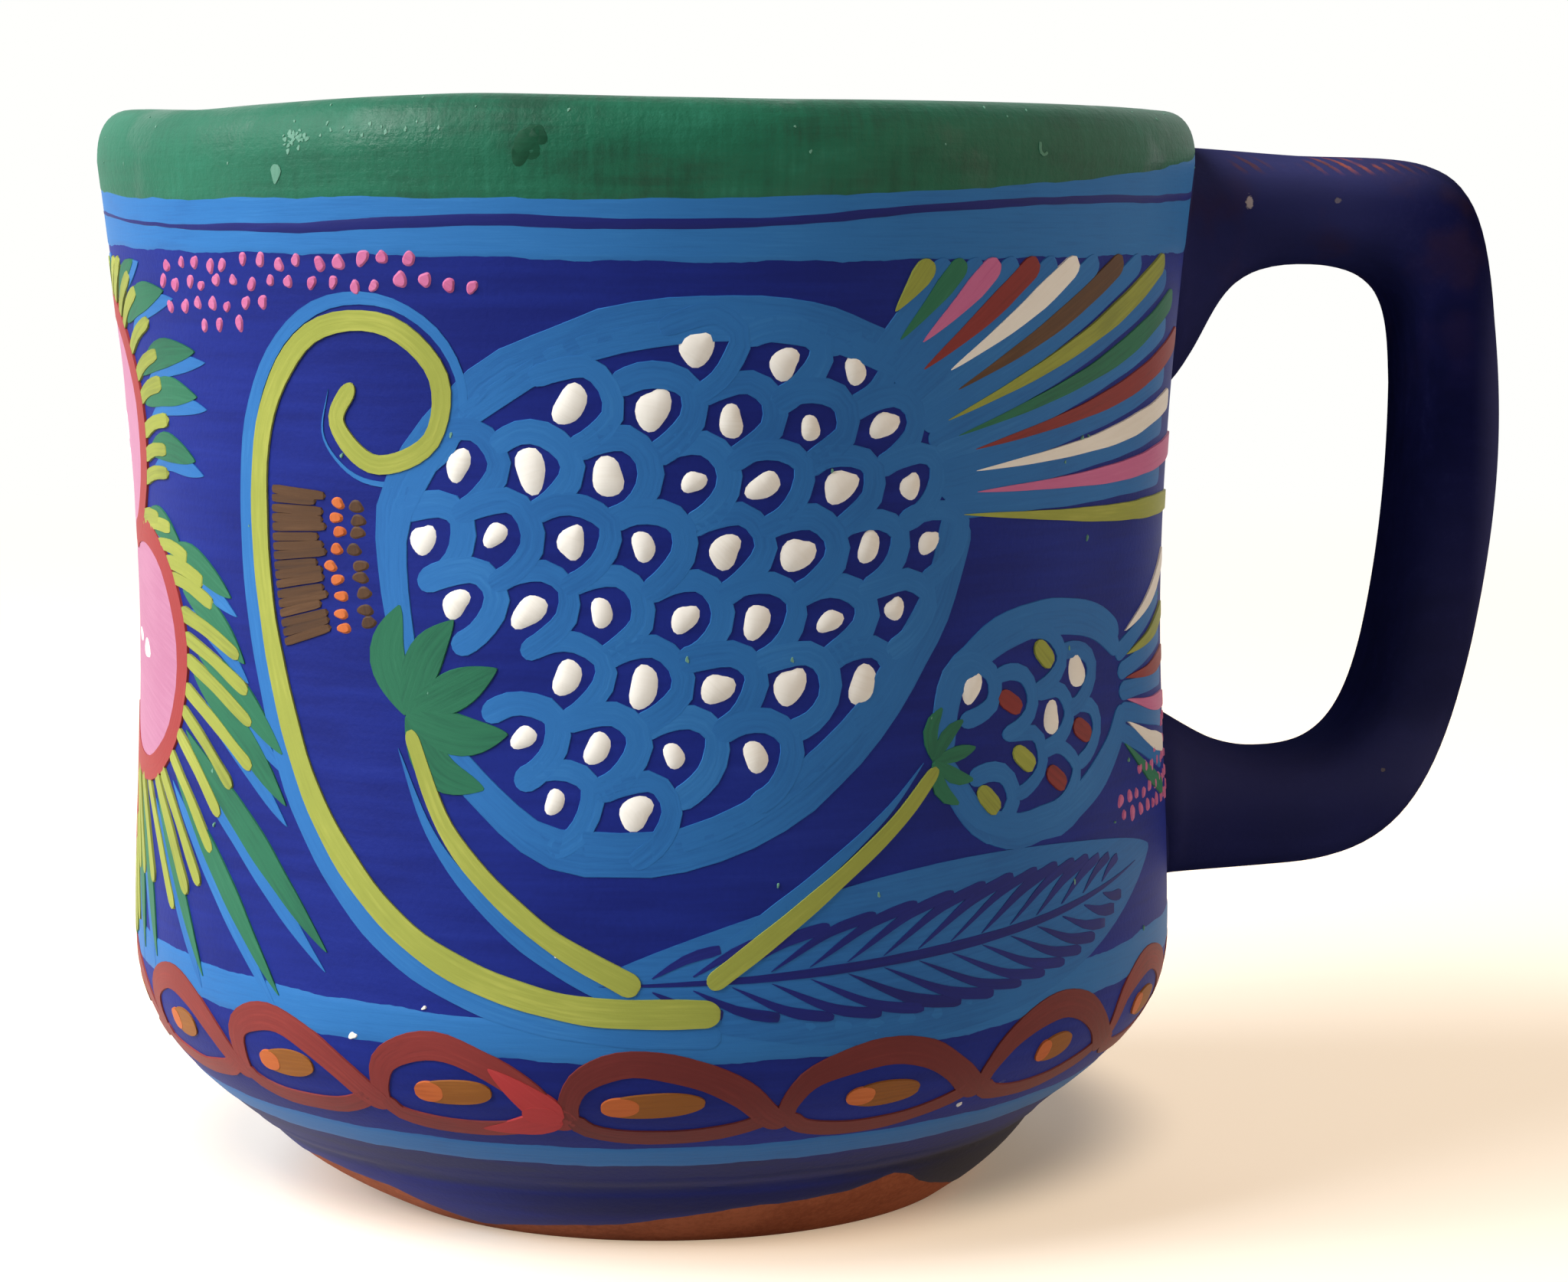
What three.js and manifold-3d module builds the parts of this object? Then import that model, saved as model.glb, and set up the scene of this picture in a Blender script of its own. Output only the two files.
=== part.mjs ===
// Clay mug: a thrown red-clay cup with a waist, a rolled lip and a turned foot,
// a flared strap handle, the two slip joints that lute it on, and the glaze
// lining that lets porous clay hold a drink.
// Millimetres, +Z up. The origin is on the cup's axis, on the foot's flat base,
// and the handle points along +X.
import * as THREE from "three";
import { mergeVertices } from "three/addons/utils/BufferGeometryUtils.js";
import Module from "manifold-3d";

// Cup, outside
const CUP_HEIGHT = 88;
const RIM_RADIUS = 45;
const WAIST_RADIUS = 42.4;
const WAIST_HEIGHT = 48;
const BELLY_RADIUS = 43.3;
const BELLY_HEIGHT = 21;
const FOOT_RADIUS = 30.7;
const FOOT_HEIGHT = 4.4;
const FOOT_ROUNDING = 4.9;
const FOOT_FILLET = 1.2;
const UNDERSIDE_SLOPE = THREE.MathUtils.degToRad(40);

// Cup, inside
const WALL = 4.9;
const FLOOR = 8;
const INSIDE_CORNER = 12;
const LIP_THICKNESS = 6;
const LIP_CROWN = 4;

// Glaze lining
const GLAZE = 0.6;
const GLAZE_SEAT = 0.05;
const GLAZE_BELOW_LIP = 3;

// Handle: where its centreline runs, its section and its roots
const HANDLE_DROP = 7.5;
const HANDLE_RISE = 29.6;
const HANDLE_REACH = 28.2;
const HANDLE_THICKNESS = 9;
const HANDLE_WIDTH = 13;
const SHOULDER_RUN = 7.8;
const SHOULDER_DROP = 14.6;
const HEEL_RUN = 15.6;
const SHOULDER_FULLNESS = 0.62;
const HEEL_FULLNESS = 0.68;
const SECTION_SQUARENESS = 2.7;
const UPPER_ROOT_FLARE = 10;
const UPPER_ROOT_LENGTH = 10.5;
const LOWER_ROOT_FLARE = 4.2;
const LOWER_ROOT_LENGTH = 7;
const ROOT_WIDENING = 1.6;
const ROOT_BURIED = 3;

// Slip joints
const SLIP = 0.9;
const SLIP_BEAD = 0.7;
const SEAT_GAP = 0.3;

// Facets
const CUP_FACETS = 64;
const CURVE_STEPS = 6;
const SECTION_SIDES = 24;
const ROOT_STEPS = 9;
const GRIP_STEPS = 22;

const COBALT = new THREE.MeshStandardMaterial({ color: 0x232a86, roughness: 0.62 });
const HANDLE_COBALT = new THREE.MeshStandardMaterial({ color: 0x1b1d55, roughness: 0.6 });
const SLIP_COBALT = new THREE.MeshStandardMaterial({ color: 0x1c1f5c, roughness: 0.66 });
const GLAZED_CLAY = new THREE.MeshStandardMaterial({ color: 0x7a3a1e, roughness: 0.14 });

const wasm = await Module();
wasm.setup();

function toSolid(geometry) {
  const bare = geometry.clone();
  bare.deleteAttribute("normal");
  bare.deleteAttribute("uv");
  const merged = mergeVertices(bare, 1e-4);
  const solid = new wasm.Manifold(
    new wasm.Mesh({
      numProp: 3,
      vertProperties: merged.attributes.position.array,
      triVerts: new Uint32Array(merged.index.array),
    }),
  );
  return solid;
}

function toGeometry(solid) {
  const mesh = solid.getMesh();
  const geometry = new THREE.BufferGeometry();
  geometry.setAttribute("position", new THREE.BufferAttribute(mesh.vertProperties, 3));
  geometry.setIndex(new THREE.BufferAttribute(mesh.triVerts, 1));
  geometry.computeVertexNormals();
  return geometry;
}

function piece(name, geometry, material) {
  const mesh = new THREE.Mesh(geometry, material);
  mesh.name = name;
  return mesh;
}

// A profile of radius and height, turned about the cup's axis.
function turned(profile) {
  return new THREE.LatheGeometry(profile, CUP_FACETS).rotateX(Math.PI / 2);
}

const at = (radius, height) => new THREE.Vector2(radius, height);

function bezier(from, leaving, arriving, to) {
  return new THREE.CubicBezierCurve(from, leaving, arriving, to).getPoints(CURVE_STEPS);
}

function arc(centre, radiusX, radiusY, start, end, steps = CURVE_STEPS) {
  const clockwise = end < start;
  return new THREE.EllipseCurve(centre.x, centre.y, radiusX, radiusY, start, end, clockwise).getPoints(steps);
}

// The cup's outer skin from the base's edge up to the lip, moved outwards by a distance.
function outsideProfile(out = 0) {
  const lipHeight = CUP_HEIGHT - LIP_CROWN;
  const footTop = at(FOOT_RADIUS + FOOT_FILLET + out, FOOT_HEIGHT + FOOT_FILLET * Math.tan(UNDERSIDE_SLOPE));
  const belly = at(BELLY_RADIUS + out, BELLY_HEIGHT);
  const waist = at(WAIST_RADIUS + out, WAIST_HEIGHT);
  const lip = at(RIM_RADIUS + out, lipHeight);
  const underside = (BELLY_HEIGHT - FOOT_HEIGHT) * 0.42;
  const taper = (WAIST_HEIGHT - BELLY_HEIGHT) / 3;
  const flare = (lipHeight - WAIST_HEIGHT) / 3;
  const lean = (RIM_RADIUS - WAIST_RADIUS) * 0.55;
  return [
    ...bezier(
      at(FOOT_RADIUS - FOOT_ROUNDING + out, 0),
      at(FOOT_RADIUS - FOOT_ROUNDING * 0.62 + out, 0),
      at(FOOT_RADIUS - FOOT_ROUNDING * 0.14 + out, FOOT_HEIGHT * 0.45),
      at(FOOT_RADIUS + out, FOOT_HEIGHT),
    ),
    ...bezier(
      footTop,
      at(footTop.x + underside * Math.cos(UNDERSIDE_SLOPE), footTop.y + underside * Math.sin(UNDERSIDE_SLOPE)),
      at(belly.x, belly.y - underside),
      belly,
    ),
    ...bezier(belly, at(belly.x, belly.y + taper), at(waist.x, waist.y - taper), waist).slice(1),
    ...bezier(waist, at(waist.x, waist.y + flare), at(lip.x - lean, lip.y - flare), lip).slice(1),
  ];
}

// The cup's inside from the lip's inner edge down to the middle of the floor, moved inwards by a distance.
function insideProfile(top, inwards = 0) {
  const lipHeight = CUP_HEIGHT - LIP_CROWN;
  const lipRadius = RIM_RADIUS - LIP_THICKNESS;
  const waistRadius = WAIST_RADIUS - WALL;
  const corner = INSIDE_CORNER - inwards;
  const cornerCentre = at(waistRadius - INSIDE_CORNER, FLOOR + INSIDE_CORNER);
  const share = Math.max(0, (top - WAIST_HEIGHT) / (lipHeight - WAIST_HEIGHT));
  return [
    at(THREE.MathUtils.lerp(waistRadius, lipRadius, share) - inwards, top),
    at(waistRadius - inwards, WAIST_HEIGHT),
    ...arc(cornerCentre, corner, corner, 0, -Math.PI / 2),
    at(0, FLOOR + inwards),
  ];
}

function cupGeometry() {
  const lipHeight = CUP_HEIGHT - LIP_CROWN;
  const crown = arc(at(RIM_RADIUS - LIP_THICKNESS / 2, lipHeight), LIP_THICKNESS / 2, LIP_CROWN, 0, Math.PI, 8);
  return turned([at(0, 0), ...outsideProfile(), ...crown.slice(1, -1), ...insideProfile(lipHeight)]);
}

function liningGeometry() {
  const top = CUP_HEIGHT - LIP_CROWN - GLAZE_BELOW_LIP;
  const seat = insideProfile(top, GLAZE_SEAT);
  const wetFace = insideProfile(top, GLAZE_SEAT + GLAZE);
  return turned([...seat.reverse(), ...wetFace]);
}

// Everything inside the cup's outer skin grown by a distance, as a tool for trimming what is luted on.
function grownCup(distance) {
  const skin = outsideProfile(distance);
  return toSolid(turned([at(0, 0), ...skin, at(RIM_RADIUS + distance, CUP_HEIGHT), at(0, CUP_HEIGHT)]));
}

// The handle's centreline, in the plane of the handle: out at the shoulder, down the grip, back at the heel.
function handlePath() {
  const top = CUP_HEIGHT - HANDLE_DROP;
  const grip = RIM_RADIUS + HANDLE_REACH - HANDLE_THICKNESS / 2;
  const buried = WAIST_RADIUS - ROOT_BURIED;
  const point = (x, z) => new THREE.Vector3(x, 0, z);
  const shoulder = point(grip - SHOULDER_RUN, top);
  const gripTop = point(grip, top - SHOULDER_DROP);
  const heel = point(grip - HEEL_RUN, HANDLE_RISE);
  const gripLength = gripTop.z - HANDLE_RISE;
  const path = new THREE.CurvePath();
  path.add(new THREE.LineCurve3(point(buried, top), shoulder));
  path.add(
    new THREE.CubicBezierCurve3(
      shoulder,
      point(shoulder.x + SHOULDER_RUN * SHOULDER_FULLNESS, top),
      point(grip, gripTop.z + SHOULDER_DROP * SHOULDER_FULLNESS),
      gripTop,
    ),
  );
  path.add(
    new THREE.CubicBezierCurve3(
      gripTop,
      point(grip, gripTop.z - gripLength * HEEL_FULLNESS),
      point(heel.x + HEEL_RUN * HEEL_FULLNESS, HANDLE_RISE),
      heel,
    ),
  );
  path.add(new THREE.LineCurve3(heel, point(buried, HANDLE_RISE)));
  return path;
}

// The cup's outer radius at a height.
function wallRadius(height) {
  const skin = outsideProfile();
  const above = skin.findIndex((point) => point.y >= height);
  const [low, high] = [skin[above - 1], skin[above]];
  return THREE.MathUtils.mapLinear(height, low.y, high.y, low.x, high.x);
}

// How much of a root's flare is left at a distance from the wall: a hollow fillet that dies out at its length.
function fillet(distance, length) {
  const share = THREE.MathUtils.clamp(1 - distance / length, 0, 1);
  return 1 - Math.sqrt(1 - share * share);
}

// Half sizes of the handle's section: towards the fingers, away from them, and to each side.
function sectionAt(place, upper, grown) {
  const fromWall = Math.max(0, place.x - wallRadius(place.z));
  const length = upper ? UPPER_ROOT_LENGTH : LOWER_ROOT_LENGTH;
  const flare = upper ? UPPER_ROOT_FLARE : LOWER_ROOT_FLARE;
  const root = fillet(fromWall, length);
  return {
    inner: HANDLE_THICKNESS / 2 + flare * root + grown,
    outer: HANDLE_THICKNESS / 2 + grown,
    side: HANDLE_WIDTH / 2 + ROOT_WIDENING * root + grown,
  };
}

// A rounded section lofted along the stretches of the handle's path that are given as shares of its length.
function handleLoft(shares, grown = 0) {
  const path = handlePath();
  const rounded = (v) => Math.sign(v) * Math.abs(v) ** (2 / SECTION_SQUARENESS);
  const positions = [];
  const centres = [];
  for (const share of shares) {
    const centre = path.getPoint(share);
    const along = path.getTangent(share);
    const half = sectionAt(centre, share < 0.5, grown);
    for (let side = 0; side < SECTION_SIDES; side++) {
      const angle = (side / SECTION_SIDES) * 2 * Math.PI;
      const inwards = rounded(Math.cos(angle));
      const reach = inwards * (inwards > 0 ? half.inner : half.outer);
      positions.push(centre.x + along.z * reach, rounded(Math.sin(angle)) * half.side, centre.z - along.x * reach);
    }
    centres.push(centre);
  }
  const rings = shares.length;
  const startCap = rings * SECTION_SIDES;
  positions.push(...centres[0].toArray(), ...centres[rings - 1].toArray());
  const faces = [];
  for (let side = 0; side < SECTION_SIDES; side++) {
    const next = (side + 1) % SECTION_SIDES;
    for (let ring = 0; ring < rings - 1; ring++) {
      const here = ring * SECTION_SIDES;
      const there = here + SECTION_SIDES;
      faces.push(here + side, here + next, there + side, here + next, there + next, there + side);
    }
    const last = (rings - 1) * SECTION_SIDES;
    faces.push(startCap, next, side, startCap + 1, last + side, last + next);
  }
  const geometry = new THREE.BufferGeometry();
  geometry.setAttribute("position", new THREE.Float32BufferAttribute(positions, 3));
  geometry.setIndex(faces);
  return geometry;
}

// Evenly spaced shares of the handle's path from one share to another.
function spread(from, to, steps) {
  return Array.from({ length: steps }, (_, step) => from + ((to - from) * step) / steps);
}

// The shares of the path at which each root's flare has died out.
function rootEnds() {
  const path = handlePath();
  const upper = path.getPoint(0);
  const lower = path.getPoint(1);
  const upperRoot = wallRadius(upper.z) - upper.x + UPPER_ROOT_LENGTH;
  const lowerRoot = wallRadius(lower.z) - lower.x + LOWER_ROOT_LENGTH;
  return {
    upper: upperRoot / path.getLength(),
    lower: 1 - lowerRoot / path.getLength(),
  };
}

function handleGeometry() {
  const ends = rootEnds();
  const shares = [
    ...spread(0, ends.upper, ROOT_STEPS),
    ...spread(ends.upper, ends.lower, GRIP_STEPS),
    ...spread(ends.lower, 1, ROOT_STEPS),
    1,
  ];
  return toGeometry(toSolid(handleLoft(shares)).subtract(grownCup(SEAT_GAP + SLIP + SEAT_GAP)));
}

// A slip joint: the root's footprint, a bead wider all round, as a thin layer that follows the wall.
function slipGeometry(shares) {
  const footprint = toSolid(handleLoft(shares, SLIP_BEAD));
  return toGeometry(footprint.intersect(grownCup(SEAT_GAP + SLIP)).subtract(grownCup(SEAT_GAP)));
}

const mug = new THREE.Group();
const ends = rootEnds();
mug.add(piece("thrown_cup", cupGeometry(), COBALT));
mug.add(piece("glaze_lining", liningGeometry(), GLAZED_CLAY));
mug.add(piece("strap_handle", handleGeometry(), HANDLE_COBALT));
mug.add(piece("upper_slip_joint", slipGeometry([...spread(0, ends.upper, ROOT_STEPS), ends.upper]), SLIP_COBALT));
mug.add(piece("lower_slip_joint", slipGeometry([...spread(ends.lower, 1, ROOT_STEPS), 1]), SLIP_COBALT));

export default mug;
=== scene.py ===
import math
import random

import bpy
import numpy as np
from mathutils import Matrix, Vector


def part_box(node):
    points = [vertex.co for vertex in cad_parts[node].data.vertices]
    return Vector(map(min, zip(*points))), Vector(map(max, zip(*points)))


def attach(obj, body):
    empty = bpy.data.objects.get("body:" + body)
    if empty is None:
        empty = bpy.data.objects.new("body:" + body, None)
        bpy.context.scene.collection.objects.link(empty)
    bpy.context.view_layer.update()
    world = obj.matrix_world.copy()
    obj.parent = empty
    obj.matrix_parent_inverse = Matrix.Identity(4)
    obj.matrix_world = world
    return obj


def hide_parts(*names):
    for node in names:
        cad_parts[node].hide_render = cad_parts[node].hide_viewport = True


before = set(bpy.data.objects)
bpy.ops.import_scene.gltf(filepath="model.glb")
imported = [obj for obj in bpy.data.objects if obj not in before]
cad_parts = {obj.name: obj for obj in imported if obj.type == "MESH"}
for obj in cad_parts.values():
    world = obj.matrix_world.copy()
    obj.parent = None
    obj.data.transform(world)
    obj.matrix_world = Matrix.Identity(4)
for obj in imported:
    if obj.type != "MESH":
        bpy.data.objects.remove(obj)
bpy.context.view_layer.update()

MM = 0.001
chance = random.Random(19)


# Working at the bench

def clear_bench():
    if bpy.context.object and bpy.context.object.mode != "OBJECT":
        bpy.ops.object.mode_set(mode="OBJECT")
    bpy.ops.object.select_all(action="DESELECT")


def take_up(piece):
    clear_bench()
    piece.select_set(True)
    bpy.context.view_layer.objects.active = piece


def face_outwards(piece):
    take_up(piece)
    bpy.ops.object.mode_set(mode="EDIT")
    bpy.ops.mesh.select_all(action="SELECT")
    bpy.ops.mesh.normals_make_consistent(inside=False)
    bpy.ops.object.mode_set(mode="OBJECT")


def close_ends():
    """Fills the open rims of the piece in edit mode and puts it down."""
    bpy.ops.mesh.select_all(action="SELECT")
    bpy.ops.mesh.region_to_loop()
    bpy.ops.mesh.edge_face_add()
    bpy.ops.object.mode_set(mode="OBJECT")


def finish_piece(piece, name, slot, material, crisp, *nodes):
    """Coats a piece, smooths it up to an angle, sets it on the mug and hides the solids it stands for."""
    piece.data.materials.append(material)
    face_outwards(piece)
    bpy.ops.object.shade_smooth_by_angle(angle=math.radians(crisp))
    piece.name = name
    piece.data.name = name
    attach(piece, "root")
    if nodes:
        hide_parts(*nodes)


def get_points(mesh):
    points = np.empty(len(mesh.vertices) * 3)
    mesh.vertices.foreach_get("co", points)
    return points.reshape(-1, 3)


def set_points(mesh, points):
    mesh.vertices.foreach_set("co", np.ascontiguousarray(points, dtype=np.float32).ravel())
    mesh.update()


# Lines and sections, in millimetres

def bezier(a, b, c, d, steps):
    t = np.linspace(0, 1, steps + 1)[:, None]
    a, b, c, d = (np.array(p, float) for p in (a, b, c, d))
    return a * (1 - t) ** 3 + 3 * b * t * (1 - t) ** 2 + 3 * c * t * t * (1 - t) + d * t ** 3


def arc(centre, across, up, start, end, steps):
    angle = np.radians(np.linspace(start, end, steps + 1))
    return np.stack([centre[0] + across * np.cos(angle), centre[1] + up * np.sin(angle)], 1)


def through(points, count):
    """A smooth line through points."""
    points = np.array(points, float)
    ends = np.concatenate([[2 * points[0] - points[1]], points, [2 * points[-1] - points[-2]]])
    spot = np.linspace(0, len(points) - 1, count)
    knot = np.minimum(spot.astype(int), len(points) - 2)
    t = (spot - knot)[:, None]
    a, b, c, d = (ends[knot + k] for k in range(4))
    bend = 2 * a - 5 * b + 4 * c - d
    twist = 3 * b - a - 3 * c + d
    return 0.5 * (2 * b + (c - a) * t + bend * t * t + twist * t ** 3)


def lengths(line):
    return np.concatenate([[0], np.cumsum(np.hypot(*np.diff(line, axis=0).T))])


def squared(v, power):
    """A circle's coordinate, pushed out towards a square with rounded corners."""
    return np.sign(v) * np.abs(v) ** (2 / power)


# The cup's section, radius and height: up the outside, over the lip and down the inside

CUP_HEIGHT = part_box("thrown_cup")[1][2] / MM
RIM_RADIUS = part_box("thrown_cup")[1][0] / MM
FRONT = math.radians(-96)
LIP_CROWN = 4.0
LIP_THICKNESS = 6.0
LIP_SQUARENESS = 2.5
LIP_STEPS = 22
WAIST = (42.4, 48.0)
BELLY = (43.3, 21.0)
FOOT_RADIUS = 32.5
FOOT_HEIGHT = 5.7
FOOT_BEVEL = 8.0
FOOT_FILLET = 1.2
FOOT_SHIFT = (1.45, -1.8)
UNDERSIDE_SHIFT = -0.55
UNDERSIDE_SLOPE = math.radians(40)
WALL = 4.9
FLOOR = 8.0
INSIDE_CORNER = 12.0
GLAZE_TOP = 81.0
GREEN_INSIDE = 81.4
LIP = (RIM_RADIUS, CUP_HEIGHT - LIP_CROWN)
ROUND = 43.0
GIRTH = 2 * math.pi * ROUND
INSIDE_RADIUS = WAIST[0] - WALL
CORNER_MIDDLE = (INSIDE_RADIUS - INSIDE_CORNER, FLOOR + INSIDE_CORNER)


def outer_section():
    top = np.array([FOOT_RADIUS + FOOT_FILLET, FOOT_HEIGHT + FOOT_FILLET * math.tan(UNDERSIDE_SLOPE)])
    slope = np.array([math.cos(UNDERSIDE_SLOPE), math.sin(UNDERSIDE_SLOPE)])
    edge = (FOOT_RADIUS, FOOT_HEIGHT)
    return np.concatenate([
        bezier((FOOT_RADIUS - FOOT_BEVEL, 0), (FOOT_RADIUS - 0.67 * FOOT_BEVEL, 0.24 * FOOT_HEIGHT),
               (FOOT_RADIUS - 0.3 * FOOT_BEVEL, 0.52 * FOOT_HEIGHT), edge, 12),
        bezier(edge, (FOOT_RADIUS + 0.2, FOOT_HEIGHT + 0.6), top - 0.5 * slope, top, 4)[1:],
        bezier(top, top + 7 * slope, (BELLY[0], BELLY[1] - 7), BELLY, 26)[1:],
        bezier(BELLY, (BELLY[0], BELLY[1] + 9), (WAIST[0], WAIST[1] - 9), WAIST, 18)[1:],
        bezier(WAIST, (WAIST[0], WAIST[1] + 12), (LIP[0] - 1.43, LIP[1] - 12), LIP, 26)[1:],
    ])


def rolled_lip(steps):
    angle = np.linspace(0, np.pi, steps + 1)
    across = RIM_RADIUS - LIP_THICKNESS / 2 * (1 - squared(np.cos(angle), LIP_SQUARENESS))
    return np.stack([across, LIP[1] + LIP_CROWN * squared(np.sin(angle), LIP_SQUARENESS)], 1)


def inner_section():
    return np.concatenate([
        rolled_lip(LIP_STEPS)[1:],
        np.linspace((RIM_RADIUS - LIP_THICKNESS, LIP[1]), (INSIDE_RADIUS, WAIST[1]), 14)[1:],
        np.linspace((INSIDE_RADIUS, WAIST[1]), (INSIDE_RADIUS, CORNER_MIDDLE[1]), 10)[1:],
        arc(CORNER_MIDDLE, INSIDE_CORNER, INSIDE_CORNER, 0, -90, 10)[1:],
        np.linspace((CORNER_MIDDLE[0], FLOOR), (3.0, FLOOR), 5)[1:],
    ])


OUTSIDE = outer_section()
SECTION = np.concatenate([OUTSIDE, inner_section()])
RUN = lengths(SECTION)
OUTSIDE_RUN = RUN[:len(OUTSIDE)]
RUN += WAIST[1] - np.interp(WAIST[1], OUTSIDE[:, 1], OUTSIDE_RUN)
HEADING = np.gradient(SECTION, RUN, axis=0)
HEADING /= np.hypot(HEADING[:, 0], HEADING[:, 1])[:, None]


def up_to(z):
    """How far up the section a height on the outside is."""
    return np.interp(z, OUTSIDE[:, 1], OUTSIDE_RUN)


def wave(knots, soften=23.0):
    """A level that wanders round the cup through knots of place and height, and closes."""
    places = [s for s, _ in knots]
    levels = [p for _, p in knots]
    s = np.array([places[-1] - GIRTH] + places + [places[0] + GIRTH])
    p = np.array(levels[-1:] + levels + levels[:1])
    fine = np.linspace(-GIRTH / 2, GIRTH / 2, 721)
    step = np.interp(fine, s, p)
    reach = int(soften / 2 / (fine[1] - fine[0]))
    kernel = np.hanning(2 * reach + 1) / np.hanning(2 * reach + 1).sum()
    ring = np.convolve(np.concatenate([step[-reach - 1:-1], step, step[1:reach + 1]]), kernel, "valid")
    return lambda at: np.interp((at + GIRTH / 2) % GIRTH - GIRTH / 2, fine, ring)


RIM_LEVEL = wave([
    (-135, 0.6), (-62, 0.55), (-50, 0.15), (-40, -0.25), (-31, 0.0), (-22, 0.28), (-13, 0.46), (0, 0.12),
    (10, 0.0), (22, 0.08), (40, 0.2), (52, 0.3), (64, 0.6), (100, 0.7)], 9.0)


def thrown(points, rim=1.0):
    """The unevenness of a hand-thrown cup: foot off centre, wall not quite round, rim not quite level."""
    x, y, z = points.T
    angle = np.arctan2(y, x)
    low = np.clip((16 - z) / 8, 0, 1)
    high = np.clip((z - 62) / 26, 0, 1) ** 2
    near = np.clip((58 - np.hypot(x, y)) / 12, 0, 1)
    uneven = 0.004 * np.sin(2 * angle + 0.6) + 0.003 * np.sin(3 * angle + z / 17)
    swell = 1 + uneven * np.clip(z / 12, 0, 1) * near
    level = RIM_LEVEL((angle - FRONT) * ROUND)
    foot = np.clip(1 - z / 9, 0, 1) ** 2
    return np.stack([
        x * swell + UNDERSIDE_SHIFT * low + FOOT_SHIFT[0] * foot,
        y * swell + FOOT_SHIFT[1] * foot,
        z + rim * level * high], 1)


# The unrolled wall: s runs round it from the middle of the front, p runs up the section

FIELD_LOW = 21.2
FIELD_HIGH = 76.6


def on_wall(s, p, lift):
    r = np.interp(p, RUN, SECTION[:, 0])
    z = np.interp(p, RUN, SECTION[:, 1])
    out_r = np.interp(p, RUN, HEADING[:, 1])
    out_z = -np.interp(p, RUN, HEADING[:, 0])
    angle = FRONT + s / ROUND
    r = r + out_r * lift
    return thrown(np.stack([r * np.cos(angle), r * np.sin(angle), z + out_z * lift], 1))


# Shader work

def rgb(red, green, blue):
    """A colour as it is seen, 0 to 255, turned to what a shader takes."""
    def linear(v):
        v /= 255
        return v / 12.92 if v <= 0.04045 else ((v + 0.055) / 1.055) ** 2.4
    return (linear(red), linear(green), linear(blue), 1.0)


class Value:
    """A socket's value, with arithmetic that adds Math nodes."""

    def __init__(self, shading, socket):
        self.shading = shading
        self.socket = socket

    def math(self, operation, *others):
        return self.shading.node(
            "ShaderNodeMath", {"operation": operation}, dict(enumerate((self, *others))))

    def other(self, output):
        """Another output of the same node."""
        return Value(self.shading, self.socket.node.outputs[output])

    def __add__(self, other):
        return self.math("ADD", other)

    def __sub__(self, other):
        return self.math("SUBTRACT", other)

    def __rsub__(self, other):
        return self.shading.node("ShaderNodeMath", {"operation": "SUBTRACT"}, {0: other, 1: self})

    def __mul__(self, other):
        return self.math("MULTIPLY", other)

    __radd__ = __add__
    __rmul__ = __mul__

    def ramp(self, low, high, to_low=0.0, to_high=1.0):
        """Smooth step from one level to another as the value goes from low to high."""
        return self.shading.node(
            "ShaderNodeMapRange", {"interpolation_type": "SMOOTHSTEP"},
            {"Value": self, "From Min": low, "From Max": high, "To Min": to_low, "To Max": to_high})


class Shading:
    """The nodes of the world or of a material in the making."""

    def __init__(self, tree):
        self.nodes = tree.nodes
        self.links = tree.links

    def node(self, kind, settings=None, inputs=None, output=0):
        made = self.nodes.new(kind)
        for key, setting in (settings or {}).items():
            setattr(made, key, setting)
        for key, given in (inputs or {}).items():
            self.put(made.inputs[key], given)
        return Value(self, made.outputs[output])

    def put(self, socket, given):
        if isinstance(given, Value):
            self.links.new(given.socket, socket)
        else:
            socket.default_value = given

    def seen_directly(self):
        """One for rays from the eye, from a gloss or through glass, and zero for the light on the object."""
        eye = self.node("ShaderNodeLightPath", output="Is Camera Ray")
        seen = eye
        for ray in ("Is Glossy Ray", "Is Transmission Ray"):
            seen = self.node(
                "ShaderNodeMath", {"operation": "ADD", "use_clamp": True}, {0: seen, 1: eye.other(ray)})
        return seen


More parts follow.
